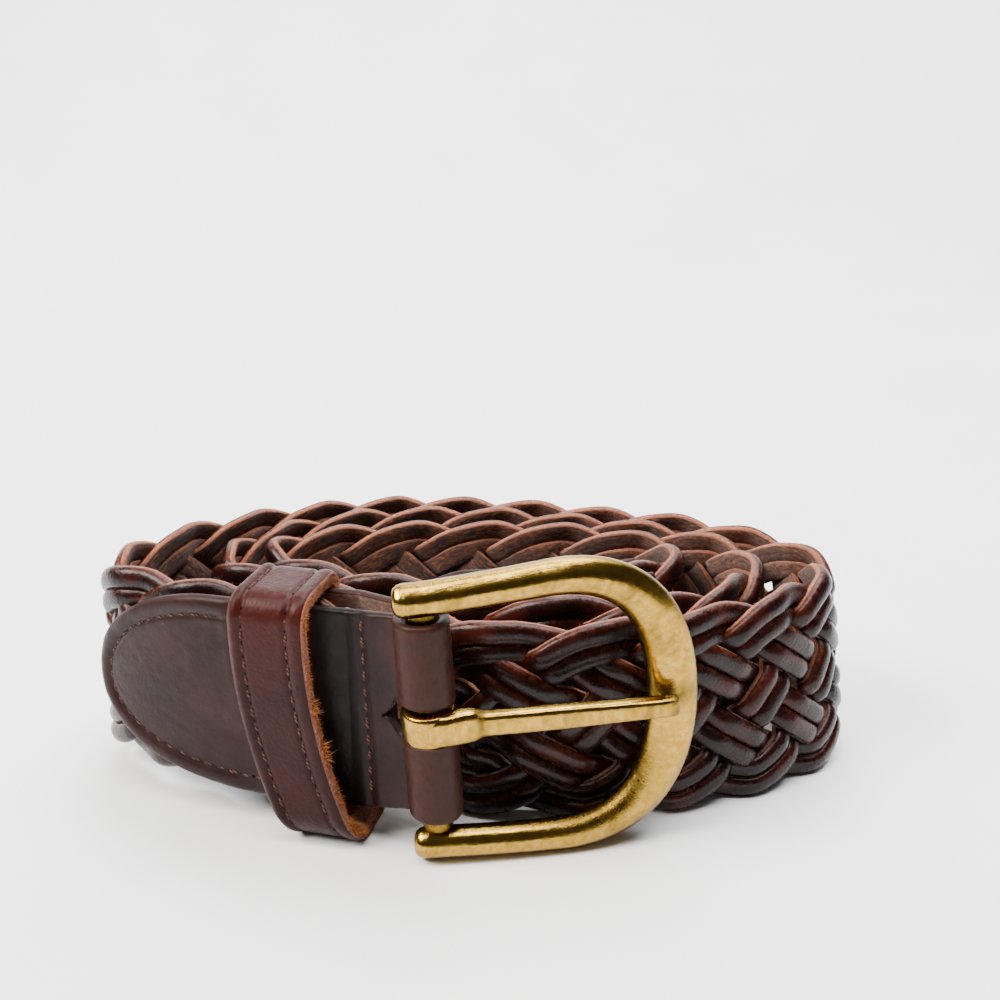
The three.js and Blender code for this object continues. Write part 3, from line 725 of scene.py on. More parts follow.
def braid():
    around = len(lace_outline)
    hair_roots, hair_ways = [], []
    for pair in range(pairs):
        laces = []
        for lace in (0, 1):
            rings, ring_marks = lace_rings(pair, lace)
            rows = len(rings)
            laces.append((rings.reshape(-1, 3), ring_faces(rows, around),
                          list(lace_sides) * (rows - 1) + [1, 1], ring_marks.reshape(-1, 3)))
            # Roots of the loose fibres: the cut edges' flesh-side corners.
            for corner, inner in ((0, 6), (12, 6), (13, 6), (16, 6)):
                rows_here = dice.choice(rows - 4, rows // 3, replace=False) + 2
                root = rings[rows_here, corner]
                way = unit(root - (rings[rows_here, inner] * 0.5 + rings[rows_here, 15] * 0.5))
                keep = way[:, 2] > -0.1
                hair_roots.append(root[keep])
                hair_ways.append(way[keep])
        points, faces, finish_of, marks = join(laces)
        piece = make_piece(f"lace_pair_{pair + 1}", points, faces, [grain, raw_edge, flesh], finish_of, marks)
        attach(piece, "strap")
        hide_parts("braided_strap")
    return np.concatenate(hair_roots), np.concatenate(hair_ways)


lace_hairs = braid()


# Leather walls: the tab round the bar, and the plain tip

# A wall's edge is rounded: how far its side points lie below its top, the share of the half
# thickness at which they stand, and the height that the rounding takes.
edge_drop = 0.14
edge_stand = 0.62
edge_height = 0.5

def nose_half(from_nose, length):
    share = np.clip(1 - np.asarray(from_nose, float) / length, 0, 1)
    return tab_width / 2 * np.sqrt(1 - share ** 2)


def wall_line(spots):
    """Columns of a leather wall's middle line against its run: plan, heights and lean."""
    spots = np.array(spots, float)
    return run_of(spots[:, :2]), spots


def wall_spot(s, side, offset, lower=tab_width / 2, upper=tab_width / 2):
    x, y, tx, ty, lean, lift = (float(v) for v in along(s, "x", "y", "tx", "ty", "lean", "lift"))
    mid = lift + strap_width / 2
    return (x - ty * side * offset, y + tx * side * offset, mid - lower, mid + upper,
            ty * lean, -tx * lean, lift)


def tab_line():
    """The tab from its nose, along the front, round the bar and along the back, and the run at
    which its front leaves the strap."""
    gaps = np.concatenate([tab_nose_lower * np.linspace(0.03, 1, 50) ** 2.0,
                           np.arange(tab_nose_lower + 0.7, tab_length, 0.7)])
    spots = [wall_spot(tab_length - gap, 1, seat_offset, nose_half(gap, tab_nose_lower),
                       nose_half(gap, tab_nose_upper)) for gap in gaps]
    front_end = wall_spot(0, 1, seat_offset)
    spots.append(front_end)
    front_count = len(spots)
    lean = math.tan(math.radians(buckle_lean))
    base = bar_mid + fold_rise - fold_width / 2
    start = wall_spot(0, -1, seat_offset)
    back_angle = math.atan2(start[1], start[0]) - math.acos(fold_radius / math.hypot(start[0], start[1]))
    crease = math.radians(fold_crease)
    turn = 2 * math.pi + back_angle - crease

    def round_bar(share):
        angle = crease + turn * share
        return (fold_radius * math.cos(angle), fold_radius * math.sin(angle), base, base + fold_width,
                -lean, 0, bar_mid)

    for t in np.linspace(0, 1, 12)[1:-1]:
        spots.append(tuple(a * (1 - t) + b * t for a, b in zip(front_end, round_bar(0))))
    for t in np.linspace(0, 1, 34):
        spots.append(round_bar(t))
    for t in np.linspace(0, 1, 9)[1:-1]:
        spots.append(tuple(a * (1 - t) + b * t for a, b in zip(round_bar(1), start)))
    for t in np.linspace(0, 1, 26):
        spots.append(wall_spot(tab_back * t, -1, seat_offset))
    line = wall_line(spots)
    return line, float(line[0][front_count - 1])


def wall_place(line, run, z, out):
    """Point on a wall: run along it, height z, and out from its middle towards its outer face."""
    runs, spots = line
    x, y, _, _, lean_x, lean_y, base = (np.interp(run, runs, spots[:, k]) for k in range(7))
    ahead = [np.interp(run + 0.4, runs, spots[:, k]) for k in (0, 1)]
    behind = [np.interp(run - 0.4, runs, spots[:, k]) for k in (0, 1)]
    way = unit(np.stack([ahead[0] - behind[0], ahead[1] - behind[1]], -1))
    return np.stack([
        bar[0] + x + way[..., 1] * out + lean_x * (z - base),
        bar[1] + y - way[..., 0] * out + lean_y * (z - base),
        z + np.zeros_like(x),
    ], -1)


def wall_mesh(line, stops, v, shape, wear, slot_part=None):
    """Closed wall: outer face with its relief, rounded edges, and a plain inner face. v: the rows'
    shares of the half height at each stop. slot_part: first and last stop and row of a slot."""
    runs, spots = line
    half_thick = leather_thick / 2
    rows = v.shape[1]
    rings, marks = [], []
    for run, row_shares in zip(stops, v):
        low, high = (float(np.interp(run, runs, spots[:, k])) for k in (2, 3))
        z = (low + high) / 2 + row_shares * ((high - low) / 2 - min(edge_height, (high - low) / 4))
        run_here = np.full(rows, run)
        outer = wall_place(line, run_here, z, half_thick + shape(run_here, z))
        inner = wall_place(line, run_here, z[::-1], np.full(rows, -half_thick))
        drop = np.array([edge_drop, 0, edge_drop])
        stand = np.array([edge_stand, 0, -edge_stand]) * half_thick
        top = wall_place(line, np.full(3, run), high - drop, stand)
        bottom = wall_place(line, np.full(3, run), low + drop, -stand)
        rings.append(np.concatenate([outer, top, inner, bottom]))
        zs = np.concatenate([z, [high] * 3, z[::-1], [low] * 3])
        marks.append(np.stack([np.full(len(zs), run), zs, wear(np.full(len(zs), run), zs)], -1))
    rings, marks = np.array(rings), np.array(marks)
    around = rings.shape[1]
    side_of = [0] * (rows + 3) + [2] * (rows - 1) + [0] * 4
    faces = ring_faces(len(rings), around)
    finish_of = side_of * (len(rings) - 1) + [0, 0]
    if slot_part is not None:
        first, last, low, high = slot_part
        back = 2 * rows + 2
        inside = set()
        for i in range(first, last):
            for j in range(low, high):
                inside.add(i * around + j)
                inside.add(i * around + back - 1 - j)
        kept = [k for k in range(len(faces)) if k not in inside]
        faces, finish_of = [faces[k] for k in kept], [finish_of[k] for k in kept]
        # The slot's sides and ends, each face by its two corners on the outer face.
        sides = [((i, j), (i + 1, j), j == high) for i in range(first, last) for j in (low, high)]
        ends = [((i, j), (i, j + 1), i == first) for j in range(low, high) for i in (first, last)]
        for (i, j), (k, m), flip in sides + ends:
            a, b, c, d = i * around + j, k * around + m, k * around + back - m, i * around + back - j
            faces.append((a, d, c, b) if flip else (a, b, c, d))
            finish_of.append(1)
    return rings.reshape(-1, 3), faces, finish_of, marks.reshape(-1, 3)


tab, tab_front_run = tab_line()
stitch_inset = 3.3
stitch_pitch = 2.4
seam_run = tab_front_run + 3.2
fold_run = tab_front_run + 8.6
fold_end_run = fold_run + 17
# Run along which the slot widens from a slit, and beyond which the tab has no rim.
slot_end = 2.4
rim_end = 36


def tab_outline():
    """The tab's D in the flat: run from the nose against height, with the lower side first."""
    gaps = tab_nose_lower * np.linspace(0, 1, 90) ** 2.0
    gaps = np.concatenate([gaps, np.linspace(tab_nose_lower, tab_length, 24)[1:]])
    runs = tab_front_run * gaps / tab_length
    mid = along(tab_length - gaps, "lift")[0] + strap_width / 2
    low = np.stack([runs, mid - nose_half(gaps, tab_nose_lower)], -1)[::-1]
    high = np.stack([runs, mid + nose_half(gaps, tab_nose_upper)], -1)
    return np.concatenate([low, high[1:]])


tab_edge = tab_outline()


def edge_distance(run, z):
    points = np.stack([run, z], -1)
    a, b = tab_edge[:-1], tab_edge[1:]
    ab = b - a
    t = np.clip(((points[:, None] - a) * ab).sum(-1) / np.maximum((ab ** 2).sum(-1), 1e-9), 0, 1)
    return np.linalg.norm(points[:, None] - (a + ab * t[..., None]), axis=-1).min(1)


# Keeper's loop: how far it stands askew along the strap at a height, shared with the tab, which
# is creased beside it.
keeper_at = [float(v) for v in along(keeper_place, "x", "y", "tx", "ty", "lift")]
keeper_high = keeper_at[4] + strap_width + seat_gap + keeper_thick


def askew(z):
    share = z / keeper_high
    bulge = keeper_bulge * (4 * share * (1 - share) - 0.5)
    return (z - keeper_high / 2) * math.tan(math.radians(keeper_lean)) + bulge


def crease_gap(run, z):
    """Run from the crease beside the keeper, less than nothing on the nose's side."""
    edge = keeper_place + askew(z) + keeper_width / 2 + 0.9
    return run - tab_front_run * (1 - edge / tab_length)


def tab_relief(run, z):
    d = edge_distance(run, z)
    past = crease_gap(run, z)
    on_d = 1 - smoothstep(run, 27, 31)
    rim = 0.42 * bell(d - 1.7, 1.15) - 0.34 * bell(d - stitch_inset, 0.42)
    rounding = -0.5 * np.clip(1 - d / 0.9, 0, 1) ** 2
    press = -0.22 * bell(past, 0.5) + 0.16 * bell(past + 1.5, 0.8)
    dents = 0.1 * wave(run * 0.8 + 31 * np.sin(z * 0.11), 7, 16)
    dents = dents + 0.05 * wave(run + 7 * np.sin(z * 0.4), 8, 5)
    seam = -0.34 * bell(run - seam_run, 0.6) + 0.22 * bell(run - seam_run - 1.9, 1.1)
    on_fold = smoothstep(run, fold_run - 1, fold_run + 1)
    on_fold = on_fold * (1 - smoothstep(run, fold_end_run, fold_end_run + 2))
    wrinkles = 0.05 * on_fold * wave(run + 1.6 * np.sin(z * 0.35), 9, 1.9)
    return (rim + press) * on_d + rounding * (run < rim_end) + dents + seam + wrinkles


def tab_wear_and_painted_shade(run, z):
    pressed = 0.75 * bell(crease_gap(run, z) + 0.6, 1.1) * (run < rim_end)
    rim = 0.4 * bell(edge_distance(run, z), 0.8) * (run < rim_end)
    fold = 0.95 * smoothstep(run - 0.05 * (bar_mid - z), fold_run - 0.5, fold_run + 2.5)
    seam = 0.35 * bell(run - seam_run, 0.9)
    # Beside the keeper, where its shadow falls, painted shade darkens the tab nearly to black.
    painted_shade = smoothstep(run, tab_front_run - 6, tab_front_run - 4)
    painted_shade = painted_shade * (1 - smoothstep(run, tab_front_run + 1, fold_run))
    return np.clip(np.maximum.reduce([pressed, rim, fold, seam]) - 0.9 * painted_shade, -1, 1)


def make_tab():
    """The tab, with the slot that lets the prong's curl through the fold."""
    runs, spots = tab
    fine = np.linspace(0, runs[-1], 4000)
    x, y = (np.interp(fine, runs, spots[:, k]) for k in (0, 1))
    open_part = fine[(x > -slot_left) & (x < slot_right) & (y > -slot_front) & (y < slot_back)]
    ends = [open_part.min(), open_part.max()]
    shown_step, hidden_step = 0.4, 0.8
    stops = np.sort(np.concatenate([np.arange(0, fold_end_run, shown_step),
                                    np.arange(fold_end_run, runs[-1], hidden_step), runs[:30], [runs[-1]]]))
    stops = stops[np.concatenate([[True], np.diff(stops) > 0.08])]
    stops = stops[np.abs(stops[:, None] - ends).min(1) > 0.15]
    stops = np.sort(np.concatenate([stops, ends]))
    share = (curl_width / 2 + slot_room) / (fold_width / 2 - edge_height)
    side_rows, slot_rows = 34, 12
    # The slot narrows to a slit at its visible end, where the leather closes up to the curl.
    into = np.clip((stops - ends[0]) / slot_end, 0, 1)
    opening = np.where(stops < ends[0] - 0.01, 1, np.maximum(0.1, into ** 1.6)) * share
    v = np.array([np.concatenate([
        np.linspace(-1, -half, side_rows), np.linspace(-half, half, slot_rows)[1:-1],
        np.linspace(half, 1, side_rows),
    ]) for half in opening])
    part = (int(np.argmin(np.abs(stops - ends[0]))), int(np.argmin(np.abs(stops - ends[1]))),
            side_rows - 1, side_rows + slot_rows - 2)
    points, faces, finish_of, marks = wall_mesh(tab, stops, v, tab_relief, tab_wear_and_painted_shade, part)
    piece = make_piece("tab", points, faces, [tab_skin, raw_edge, flesh], finish_of, marks)
    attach(piece, "strap")
    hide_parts("buckle_tab")


make_tab()


def tip_relief(run, z):
    return 0.05 * wave(run + 5 * np.sin(z * 0.3), 12, 8)


def tip_wear(run, z):
    return 0.25 + 0.25 * wave(run + z, 13, 20)


def make_tip():
    """Plain end of the strap: two walls that close beyond the braid."""
    first = strap_length - tip_overlap
    last = first + tip_length
    closed = seat_gap / 2 + leather_thick / 2
    walls = []
    for side in (1, -1):
        stops = np.concatenate([np.linspace(first, last - tip_nose, 60),
                                last - tip_nose * (1 - np.linspace(0.02, 0.999, 36)) ** 2.0])
        spots = []
        for s in stops:
            share = float(smoothstep(s, strap_length, strap_length + tip_closing))
            offset = seat_offset + (closed - seat_offset) * share
            half = float(nose_half(last - s, tip_nose))
            spots.append(wall_spot(s, side, offset, half, half))
        line = wall_line(spots if side < 0 else spots[::-1])
        rows = np.tile(np.linspace(-1, 1, 40), (len(line[0]), 1))
        walls.append(wall_mesh(line, line[0], rows, tip_relief, tip_wear))
    points, faces, finish_of, marks = join(walls)
    piece = make_piece("tip", points, faces, [tab_skin, raw_edge, flesh], finish_of, marks)
    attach(piece, "strap")
    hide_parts("strap_tip")


make_tip()


# Keeper

def keeper_loop():
    """The keeper's middle line across and up, with its outward way, closed on itself."""
    tab_face = seat_offset + leather_thick / 2
    half = keeper_thick / 2
    left = -tab_face - keeper_back_room - half
    right = tab_face + keeper_front_room + half
    low, high = half, keeper_high - half
    r, sag = keeper_corner - half + 0.8, keeper_corner - half + 2.6
    corners = [((right - sag, low + sag), -90, sag), ((right - r, high - r), 0, r),
               ((left + r, high - r), 90, r), ((left + r, low + r), 180, r)]
    spots, outs = [], []
    for k, (corner, start, radius) in enumerate(corners):
        for a in np.radians(np.linspace(start, start + 90, 12)):
            outs.append(np.array([math.cos(a), math.sin(a)]))
            spots.append(np.array(corner) + radius * outs[-1])
        begin, out = spots[-1], outs[-1]
        goal = np.array(corners[(k + 1) % 4][0]) + corners[(k + 1) % 4][2] * out
        steps = max(3, int(np.linalg.norm(goal - begin) / 0.55))
        for t in np.linspace(0, 1, steps)[1:-1]:
            spots.append(begin * (1 - t) + goal * t)
            outs.append(out)
    return np.array(spots), np.array(outs)


keeper_line, keeper_out = keeper_loop()
keeper_run = run_of(keeper_line)
row_left = 2.2
row_right = 2.7
row_pitch = 2.6


def keeper_spot(index, lane, out):
    """Point on the keeper: index round its loop, lane from its left edge, out from its middle."""
    lane, out = np.asarray(lane, float), np.asarray(out, float)
    x, z = (keeper_line[index] + keeper_out[index] * out[..., None]).T
    along_strap = askew(z) + keeper_width / 2 - lane
    px, py, tx, ty, _ = keeper_at
    return np.stack([bar[0] + px - ty * x + tx * along_strap, bar[1] + py + tx * x + ty * along_strap, z], -1)


def keeper_profile(lane):
    right = keeper_width - lane
    groove = 0.3 * (bell(lane - row_left, 0.42) + bell(right - row_right, 0.42))
    edge = 0.5 * np.clip(1 - lane / 0.9, 0, 1) ** 2 + 0.3 * np.clip(1 - right / 0.7, 0, 1) ** 2
    crown = 0.26 * bell(lane - 1.1, 0.8) + 0.2 * bell(right - 1.3, 0.9)
    return crown - groove - edge


def keeper_raw_lane(index, seed):
    """Where the raw right edge ends: torn by up to half a millimetre."""
    run = keeper_run[index]
    return keeper_width + 0.16 * wave(run, seed, 1.3) + 0.1 * wave(run, seed + 9, 0.5)


def make_keeper():
    outer_count, inner_count, left_count = 54, 24, 4
    lanes = np.linspace(0.12, keeper_width - 0.2, outer_count)
    inner_lanes = np.linspace(keeper_width - 0.3, 0.25, inner_count)
    half = keeper_thick / 2
    edge_out = np.array([0.66, 0.38, 0.05, -0.3, -0.62, -0.9]) * half
    count = len(edge_out)
    rings, marks = [], []
    for i in range(len(keeper_line)):
        torn = np.array([float(keeper_raw_lane(i, 300 + j)) for j in range(count)])
        right_edge = keeper_spot(np.full(count, i), torn, edge_out)
        left_out = np.array([-0.7, -0.25, 0.2, 0.62]) * half
        left_edge = keeper_spot(np.full(left_count, i), np.zeros(left_count), left_out)
        outer = keeper_spot(np.full(outer_count, i), lanes, half + keeper_profile(lanes))
        nap = 0.1 * np.array([float(wave(keeper_run[i] + 3 * k, 320 + k, 1.2)) for k in range(inner_count)])
        inner = keeper_spot(np.full(inner_count, i), inner_lanes, -half + nap)
        rings.append(np.concatenate([outer, right_edge, inner, left_edge]))
        lane_marks = np.concatenate([lanes, keeper_width + 0.4 * np.arange(count),
                                     keeper_width + 15 - inner_lanes, np.zeros(left_count)])
        high = float(smoothstep(keeper_line[i, 1], 26, 40))
        rub = 0.25 + 0.75 * high + 0.3 * bell(lanes, 0.8)
        raw = np.full(count + inner_count, 1.0)
        wear = np.concatenate([np.clip(rub, 0, 1), raw, np.full(left_count, 0.6)])
        marks.append(np.stack([np.full(len(lane_marks), keeper_run[i]) + 200, lane_marks, wear], -1))
    rings, marks = np.array(rings), np.array(marks)
    # The first inner lanes are raw too, where the edge is torn.
    torn_count = 9
    side_of = ([0] * (outer_count - 1) + [1] * (count + 1 + torn_count)
               + [2] * (inner_count - 1 - torn_count) + [0] * (left_count + 1))
    faces = ring_faces(len(rings), rings.shape[1], closed_way=True)
    piece = make_piece("keeper_loop", rings.reshape(-1, 3), faces, [keeper_skin, raw_edge, flesh],
                       side_of * len(rings), marks.reshape(-1, 3))
    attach(piece, "strap")
    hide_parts("keeper")


make_keeper()


# Loose fibres on raw leather

def make_fibres(name, roots, ways, lengths, girth):
    """Fine hairs of hide, each a three-sided taper in three bent steps."""
    count = len(roots)
    ways = unit(ways)
    side = unit(np.cross(ways, dice.normal(size=(count, 3))))
    other = np.cross(ways, side)
    bend = dice.uniform(-0.55, 0.55, (count, 2))
    rings = []
    for t in (0.0, 0.4, 0.75, 1.0):
        reach = (lengths * t)[:, None]
        middle = roots + ways * reach + (side * bend[:, :1] + other * bend[:, 1:]) * reach * t
        for a in (0.0, 2.1, 4.2):
            rings.append(middle + (girth * (1.05 - t))[:, None] * (side * math.cos(a) + other * math.sin(a)))
    points = np.stack(rings, 1).reshape(-1, 3)
    faces = []
    for i in range(count):
        faces += ring_faces(4, 3, 12 * i)
    marks = np.repeat(roots + dice.uniform(0, 9, (count, 3)), 12, axis=0)
    piece = make_piece(name, points, faces, [fibre], marks=marks)
    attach(piece, "strap")


def keeper_fibres():
    """Short fibres along the keeper's raw edge, with torn tufts here and there."""
    last = len(keeper_line) - 1
    half = keeper_thick / 2
    right = np.array([-keeper_at[2], -keeper_at[3], 0.0])
    roots, ways, lengths = [], [], []
    index = dice.integers(0, last, 2600)
    out = dice.uniform(-0.9, 0.6, len(index)) * half
    spots = keeper_spot(index, keeper_raw_lane(index, 302) - 0.1, out)
    normal = unit(keeper_spot(index, np.full(len(index), 10.0), np.full(len(index), 2.0))
                  - keeper_spot(index, np.full(len(index), 10.0), np.full(len(index), 0.0)))
    roots.append(spots)
    ways.append(right + 0.5 * normal * np.sign(out)[:, None] + dice.normal(0, 0.45, (len(index), 3)))
    lengths.append(dice.uniform(0.15, 0.6, len(index)))
    # Tufts: height on the front of the loop, hairs in it, and their length.
    for height, hairs, long in (
        (24.5, 60, 1.7), (21.5, 26, 1.1), (17.2, 80, 2.0), (28.5, 26, 1.1), (31.5, 30, 1.0),
        (9.5, 40, 1.2), (4.2, 110, 1.9), (2.6, 120, 1.7), (38.2, 40, 1.0),
    ):
        front = np.argmin(np.abs(keeper_line[:, 1] - height) + 50 * (keeper_out[:, 0] < 0.3))
        index = np.clip(front + dice.integers(-2, 3, hairs), 0, last)
        spots = keeper_spot(index, np.full(hairs, keeper_width - 0.25), dice.uniform(-0.8, 0.3, hairs) * half)
        lean = right + np.array([0, -0.1, dice.uniform(-0.5, 0.3)])
        roots.append(spots)
        ways.append(lean + dice.normal(0, 0.3, (hairs, 3)))
        lengths.append(long * dice.uniform(0.35, 1.0, hairs))
    roots, ways, lengths = np.concatenate(roots), np.concatenate(ways), np.concatenate(lengths)
    roots[:, 2] = np.maximum(roots[:, 2], 0.4)
    ways[:, 2] = np.where(roots[:, 2] < 3, np.abs(ways[:, 2]), ways[:, 2])
    make_fibres("keeper_fibres", roots, ways, lengths, dice.uniform(0.05, 0.11, len(roots)))


keeper_fibres()


def lace_fibres():
    """Fine hairs on the laces' raw corners."""
    roots, ways = lace_hairs
    count = len(roots)
    make_fibres("lace_fibres", roots - ways * 0.05, ways + dice.normal(0, 0.5, (count, 3)),
                dice.uniform(0.2, 0.6, count) * dice.uniform(0.5, 1.5, count),
                dice.uniform(0.035, 0.07, count))


lace_fibres()


# Stitches

def stitch(start, end, out, radius):
    """One stitch: a short thread that comes out of its hole, arches and goes back in."""
    rows, sides = 7, 7
    t = np.linspace(0, 1, rows)
    way = unit(end - start)
    across = unit(np.cross(out, way))
    arch = np.sin(np.pi * t) * radius * 0.9 - radius * 0.6
    line = start + (end - start) * t[:, None] + out * arch[:, None]
    girth = radius * (0.5 + 0.5 * np.sin(np.pi * np.clip(t, 0.06, 0.94)))
    rings = []
    for a in np.arange(sides) * 2 * math.pi / sides:
        rings.append(line + (across * math.cos(a))[None] * girth[:, None]
                     + (out * math.sin(a))[None] * girth[:, None])
    return np.stack(rings, 1).reshape(-1, 3), ring_faces(rows, sides)


def prick(spot, out, way):
    """A small dimple that lies on the leather at a stitch's end; its near-black colour is painted shade."""
    across = unit(np.cross(out, way))
    ring = [spot + out * 0.03 + (across * math.cos(a) * 0.36 + way * math.sin(a) * 0.3)
            for a in np.arange(8) * math.pi / 4]
    return np.array(ring + [p - out * 0.25 for p in ring]), ring_faces(2, 8)


def sew(name, spots, outs, radius=0.25):
    """A row of stitches through a list of needle holes, with the holes between them."""
    sewn = []
    for i in range(len(spots)):
        ahead = spots[min(i + 1, len(spots) - 1)]
        parts = [(prick(spots[i], outs[i], unit(ahead - spots[max(i - 1, 0)])), 1)]
        if i < len(spots) - 1:
            out = unit(outs[i] + outs[i + 1])
            way = ahead - spots[i]
            sunk = out * dice.uniform(-0.08, 0.02)
            skew = np.cross(out, unit(way)) * dice.uniform(-0.14, 0.14)
            parts.append((stitch(spots[i] + way * 0.13 + skew + sunk, ahead - way * 0.13 - skew + sunk, out,
                                 radius * dice.uniform(0.85, 1.12)), 0))
        for (points, faces), which in parts:
            sewn.append((points, faces, [which] * len(faces), points + dice.uniform(0, 40)))
    points, faces, finish_of, marks = join(sewn)
    piece = make_piece(name, points, faces, [thread, hole], finish_of, marks)
    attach(piece, "strap")


def even_stops(line, pitch):
    run = run_of(line)
    stops = np.linspace(0, run[-1], max(2, int(round(run[-1] / pitch)) + 1))
    return read_at(stops, run, line)


def tab_spots(flat):
    """Places and outward ways of flat points (run, height) on the tab's outer face."""
    run, z = flat[:, 0], flat[:, 1]
    level = leather_thick / 2 + tab_relief(run, z)
    spots = wall_place(tab, run, z, level)
    return spots, unit(wall_place(tab, run, z, level + 1) - spots)


def stitch_tab():
    way = unit(np.gradient(tab_edge, axis=0))
    line = tab_edge + np.stack([way[:, 1], -way[:, 0]], -1) * stitch_inset
    line = line[edge_distance(line[:, 0], line[:, 1]) > stitch_inset * 0.97]
    line = line[crease_gap(line[:, 0], line[:, 1]) < -0.4]
    spots, outs = tab_spots(even_stops(line, stitch_pitch))
    sew("tab_stitches", spots, outs)
    z = np.linspace(bar_mid - 14.6, bar_mid + 15.6, 12)
    spots, outs = tab_spots(np.stack([np.full_like(z, seam_run), z], -1))
    sew("seam_stitches", spots, outs, 0.3)


stitch_tab()


def stitch_keeper():
    for name, lane in (("keeper_stitches_left", row_left),
                       ("keeper_stitches_right", keeper_width - row_right)):
        index = np.searchsorted(keeper_run, np.arange(0, keeper_run[-1], row_pitch))
        level = keeper_thick / 2 + float(keeper_profile(np.array([lane]))[0])
        spots = keeper_spot(index, np.full(len(index), lane), np.full(len(index), level))
        outs = unit(keeper_spot(index, np.full(len(index), lane), np.full(len(index), level + 1)) - spots)
        sew(name, spots, outs)


stitch_keeper()


# Brass

frame_step = 0.7


def lean_place(points):
    """Turns points from the buckle's own frame to where it leans on the bar."""
    c, s = math.cos(math.radians(buckle_lean)), math.sin(math.radians(buckle_lean))
    x, y, z = points[..., 0], points[..., 1], points[..., 2]
    return np.stack([bar[0] + x * c - z * s, bar[1] + y, bar_mid + x * s + z * c], -1)


def frame_line():
    heel, bow = heel_span / 2, bow_span / 2
    flare = (bow - heel) / 2
    a = np.array([-foot_reach, heel])
    b = np.array([arm_straight, bow - flare * 0.3])
    c = np.array([bow_reach, 0.0])
    wrist = np.array([arm_straight * 0.55, bow - flare * 0.9])
    upper = bezier(a, np.array([foot_reach, heel]), wrist, b, 120)
    knee = np.array([arm_straight + (bow_reach - arm_straight) * bow_handle, bow + flare * 0.9])
    lower = bezier(b, knee, np.array([bow_reach, bow * bow_handle]), c, 160)
    half = np.concatenate([upper, lower[1:]])
    return even_stops(np.concatenate([half, (half * [1, -1])[::-1][1:]]), frame_step)


def frame_depth(x):
    share = np.maximum(0, x) / bow_reach
    return -foot_forward + (toe_setback + foot_forward) * share - front_bow * np.sin(np.pi * share)


def near(angle, degrees, width):
    """How near the angles round a section are to one direction, from 0 to 1."""
    gap = np.mod(angle - math.radians(degrees) + math.pi, 2 * math.pi) - math.pi
    return bell(gap, width)


def make_frame():
    line = frame_line()
    way = unit(np.gradient(line, axis=0))
    across = np.stack([-way[:, 1], np.zeros(len(way)), way[:, 0]], -1)
    centre = np.stack([line[:, 0], frame_depth(line[:, 0]), line[:, 1]], -1)
    toe = np.clip(line[:, 0] / bow_reach, 0, 1) ** 3
    half_wide = (arm_wide + (toe_wide - arm_wide) * toe) / 2
    sides = 32
    run = np.arange(len(line)) * frame_step
    # The prong's tip has worn a notch in the toe, and the toe's lower half is pitted.
    notch = bell(line[:, 1] - 0.6, 2.0) * (line[:, 0] > 30)
    pitted = smoothstep(-line[:, 1], 4, 12) * smoothstep(line[:, 0], 8, 26)
    angles = 2 * math.pi * np.arange(sides) / sides
    cosines, sines = np.cos(angles), np.sin(angles)
    # Rounded feet: rings that shrink beyond the ends of the line. Columns: out, size.
    foot = ((1, 0.3), (0.96, 0.55), (0.86, 0.74), (0.66, 0.9), (0.35, 0.98))
    stations = [(0, out, size) for out, size in foot]
    stations += [(i, 0, 1) for i in range(len(line))]
    stations += [(len(line) - 1, out, size) for out, size in reversed(foot)]
    points, marks = [], []
    for i, out, size in stations:
        # Round the section: 0 is its inner side, 90 its front. The inner front is bevelled flat.
        bevel = near(angles, 42, 0.42)
        shrink = 1 - 0.085 * bevel - 0.13 * notch[i] * near(angles, 90, 0.6)
        ripple = 1 + 0.007 * wave(run[i] + 3 * cosines, 500, 6) + 0.004 * wave(run[i] + 5 * sines, 501, 2.2)
        girth = size * shrink * ripple
        points.append(centre[i] + np.array([-out * foot_round, 0, 0])
                      + across[i] * (cosines * half_wide[i] * girth)[:, None]
                      + np.array([0, -1, 0]) * (sines * arm_deep / 2 * girth)[:, None])
        wear = 0.7 * np.clip(-sines, 0, 1) + 0.85 * notch[i] * np.clip(sines, 0, 1)
        wear += 0.5 * pitted[i] * near(angles, 150, 0.9)
        wear += 0.35 * near(angles, 10, 0.3) + 0.3 * near(angles, 165, 0.25)
        along_it = np.full(sides, run[i]) + 3 * (out > 0)
        marks.append(np.stack([along_it, angles * 2.6, np.clip(wear, 0, 1)], -1))
    points, marks = np.array(points), np.array(marks)
    rows = len(points)
    faces = ring_faces(rows, sides)
    bar_rings = 30
    bar_z = np.linspace(-heel_span / 2, heel_span / 2, bar_rings)
    rod = np.stack([np.stack([bar_radius * cosines, bar_radius * sines, np.full(sides, z)], -1)
                    for z in bar_z])
    faces += ring_faces(bar_rings, sides, rows * sides)
    rod_marks = np.stack([np.repeat(bar_z, sides), np.tile(angles * bar_radius, bar_rings),
                          np.full(bar_rings * sides, 0.7)], -1)
    everything = np.concatenate([points.reshape(-1, 3), rod.reshape(-1, 3)])
    piece = make_piece("horseshoe_frame", lean_place(everything), faces, [brass],
                       marks=np.concatenate([marks.reshape(-1, 3), rod_marks]))
    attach(piece, "frame")
    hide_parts("buckle_frame")


make_frame()


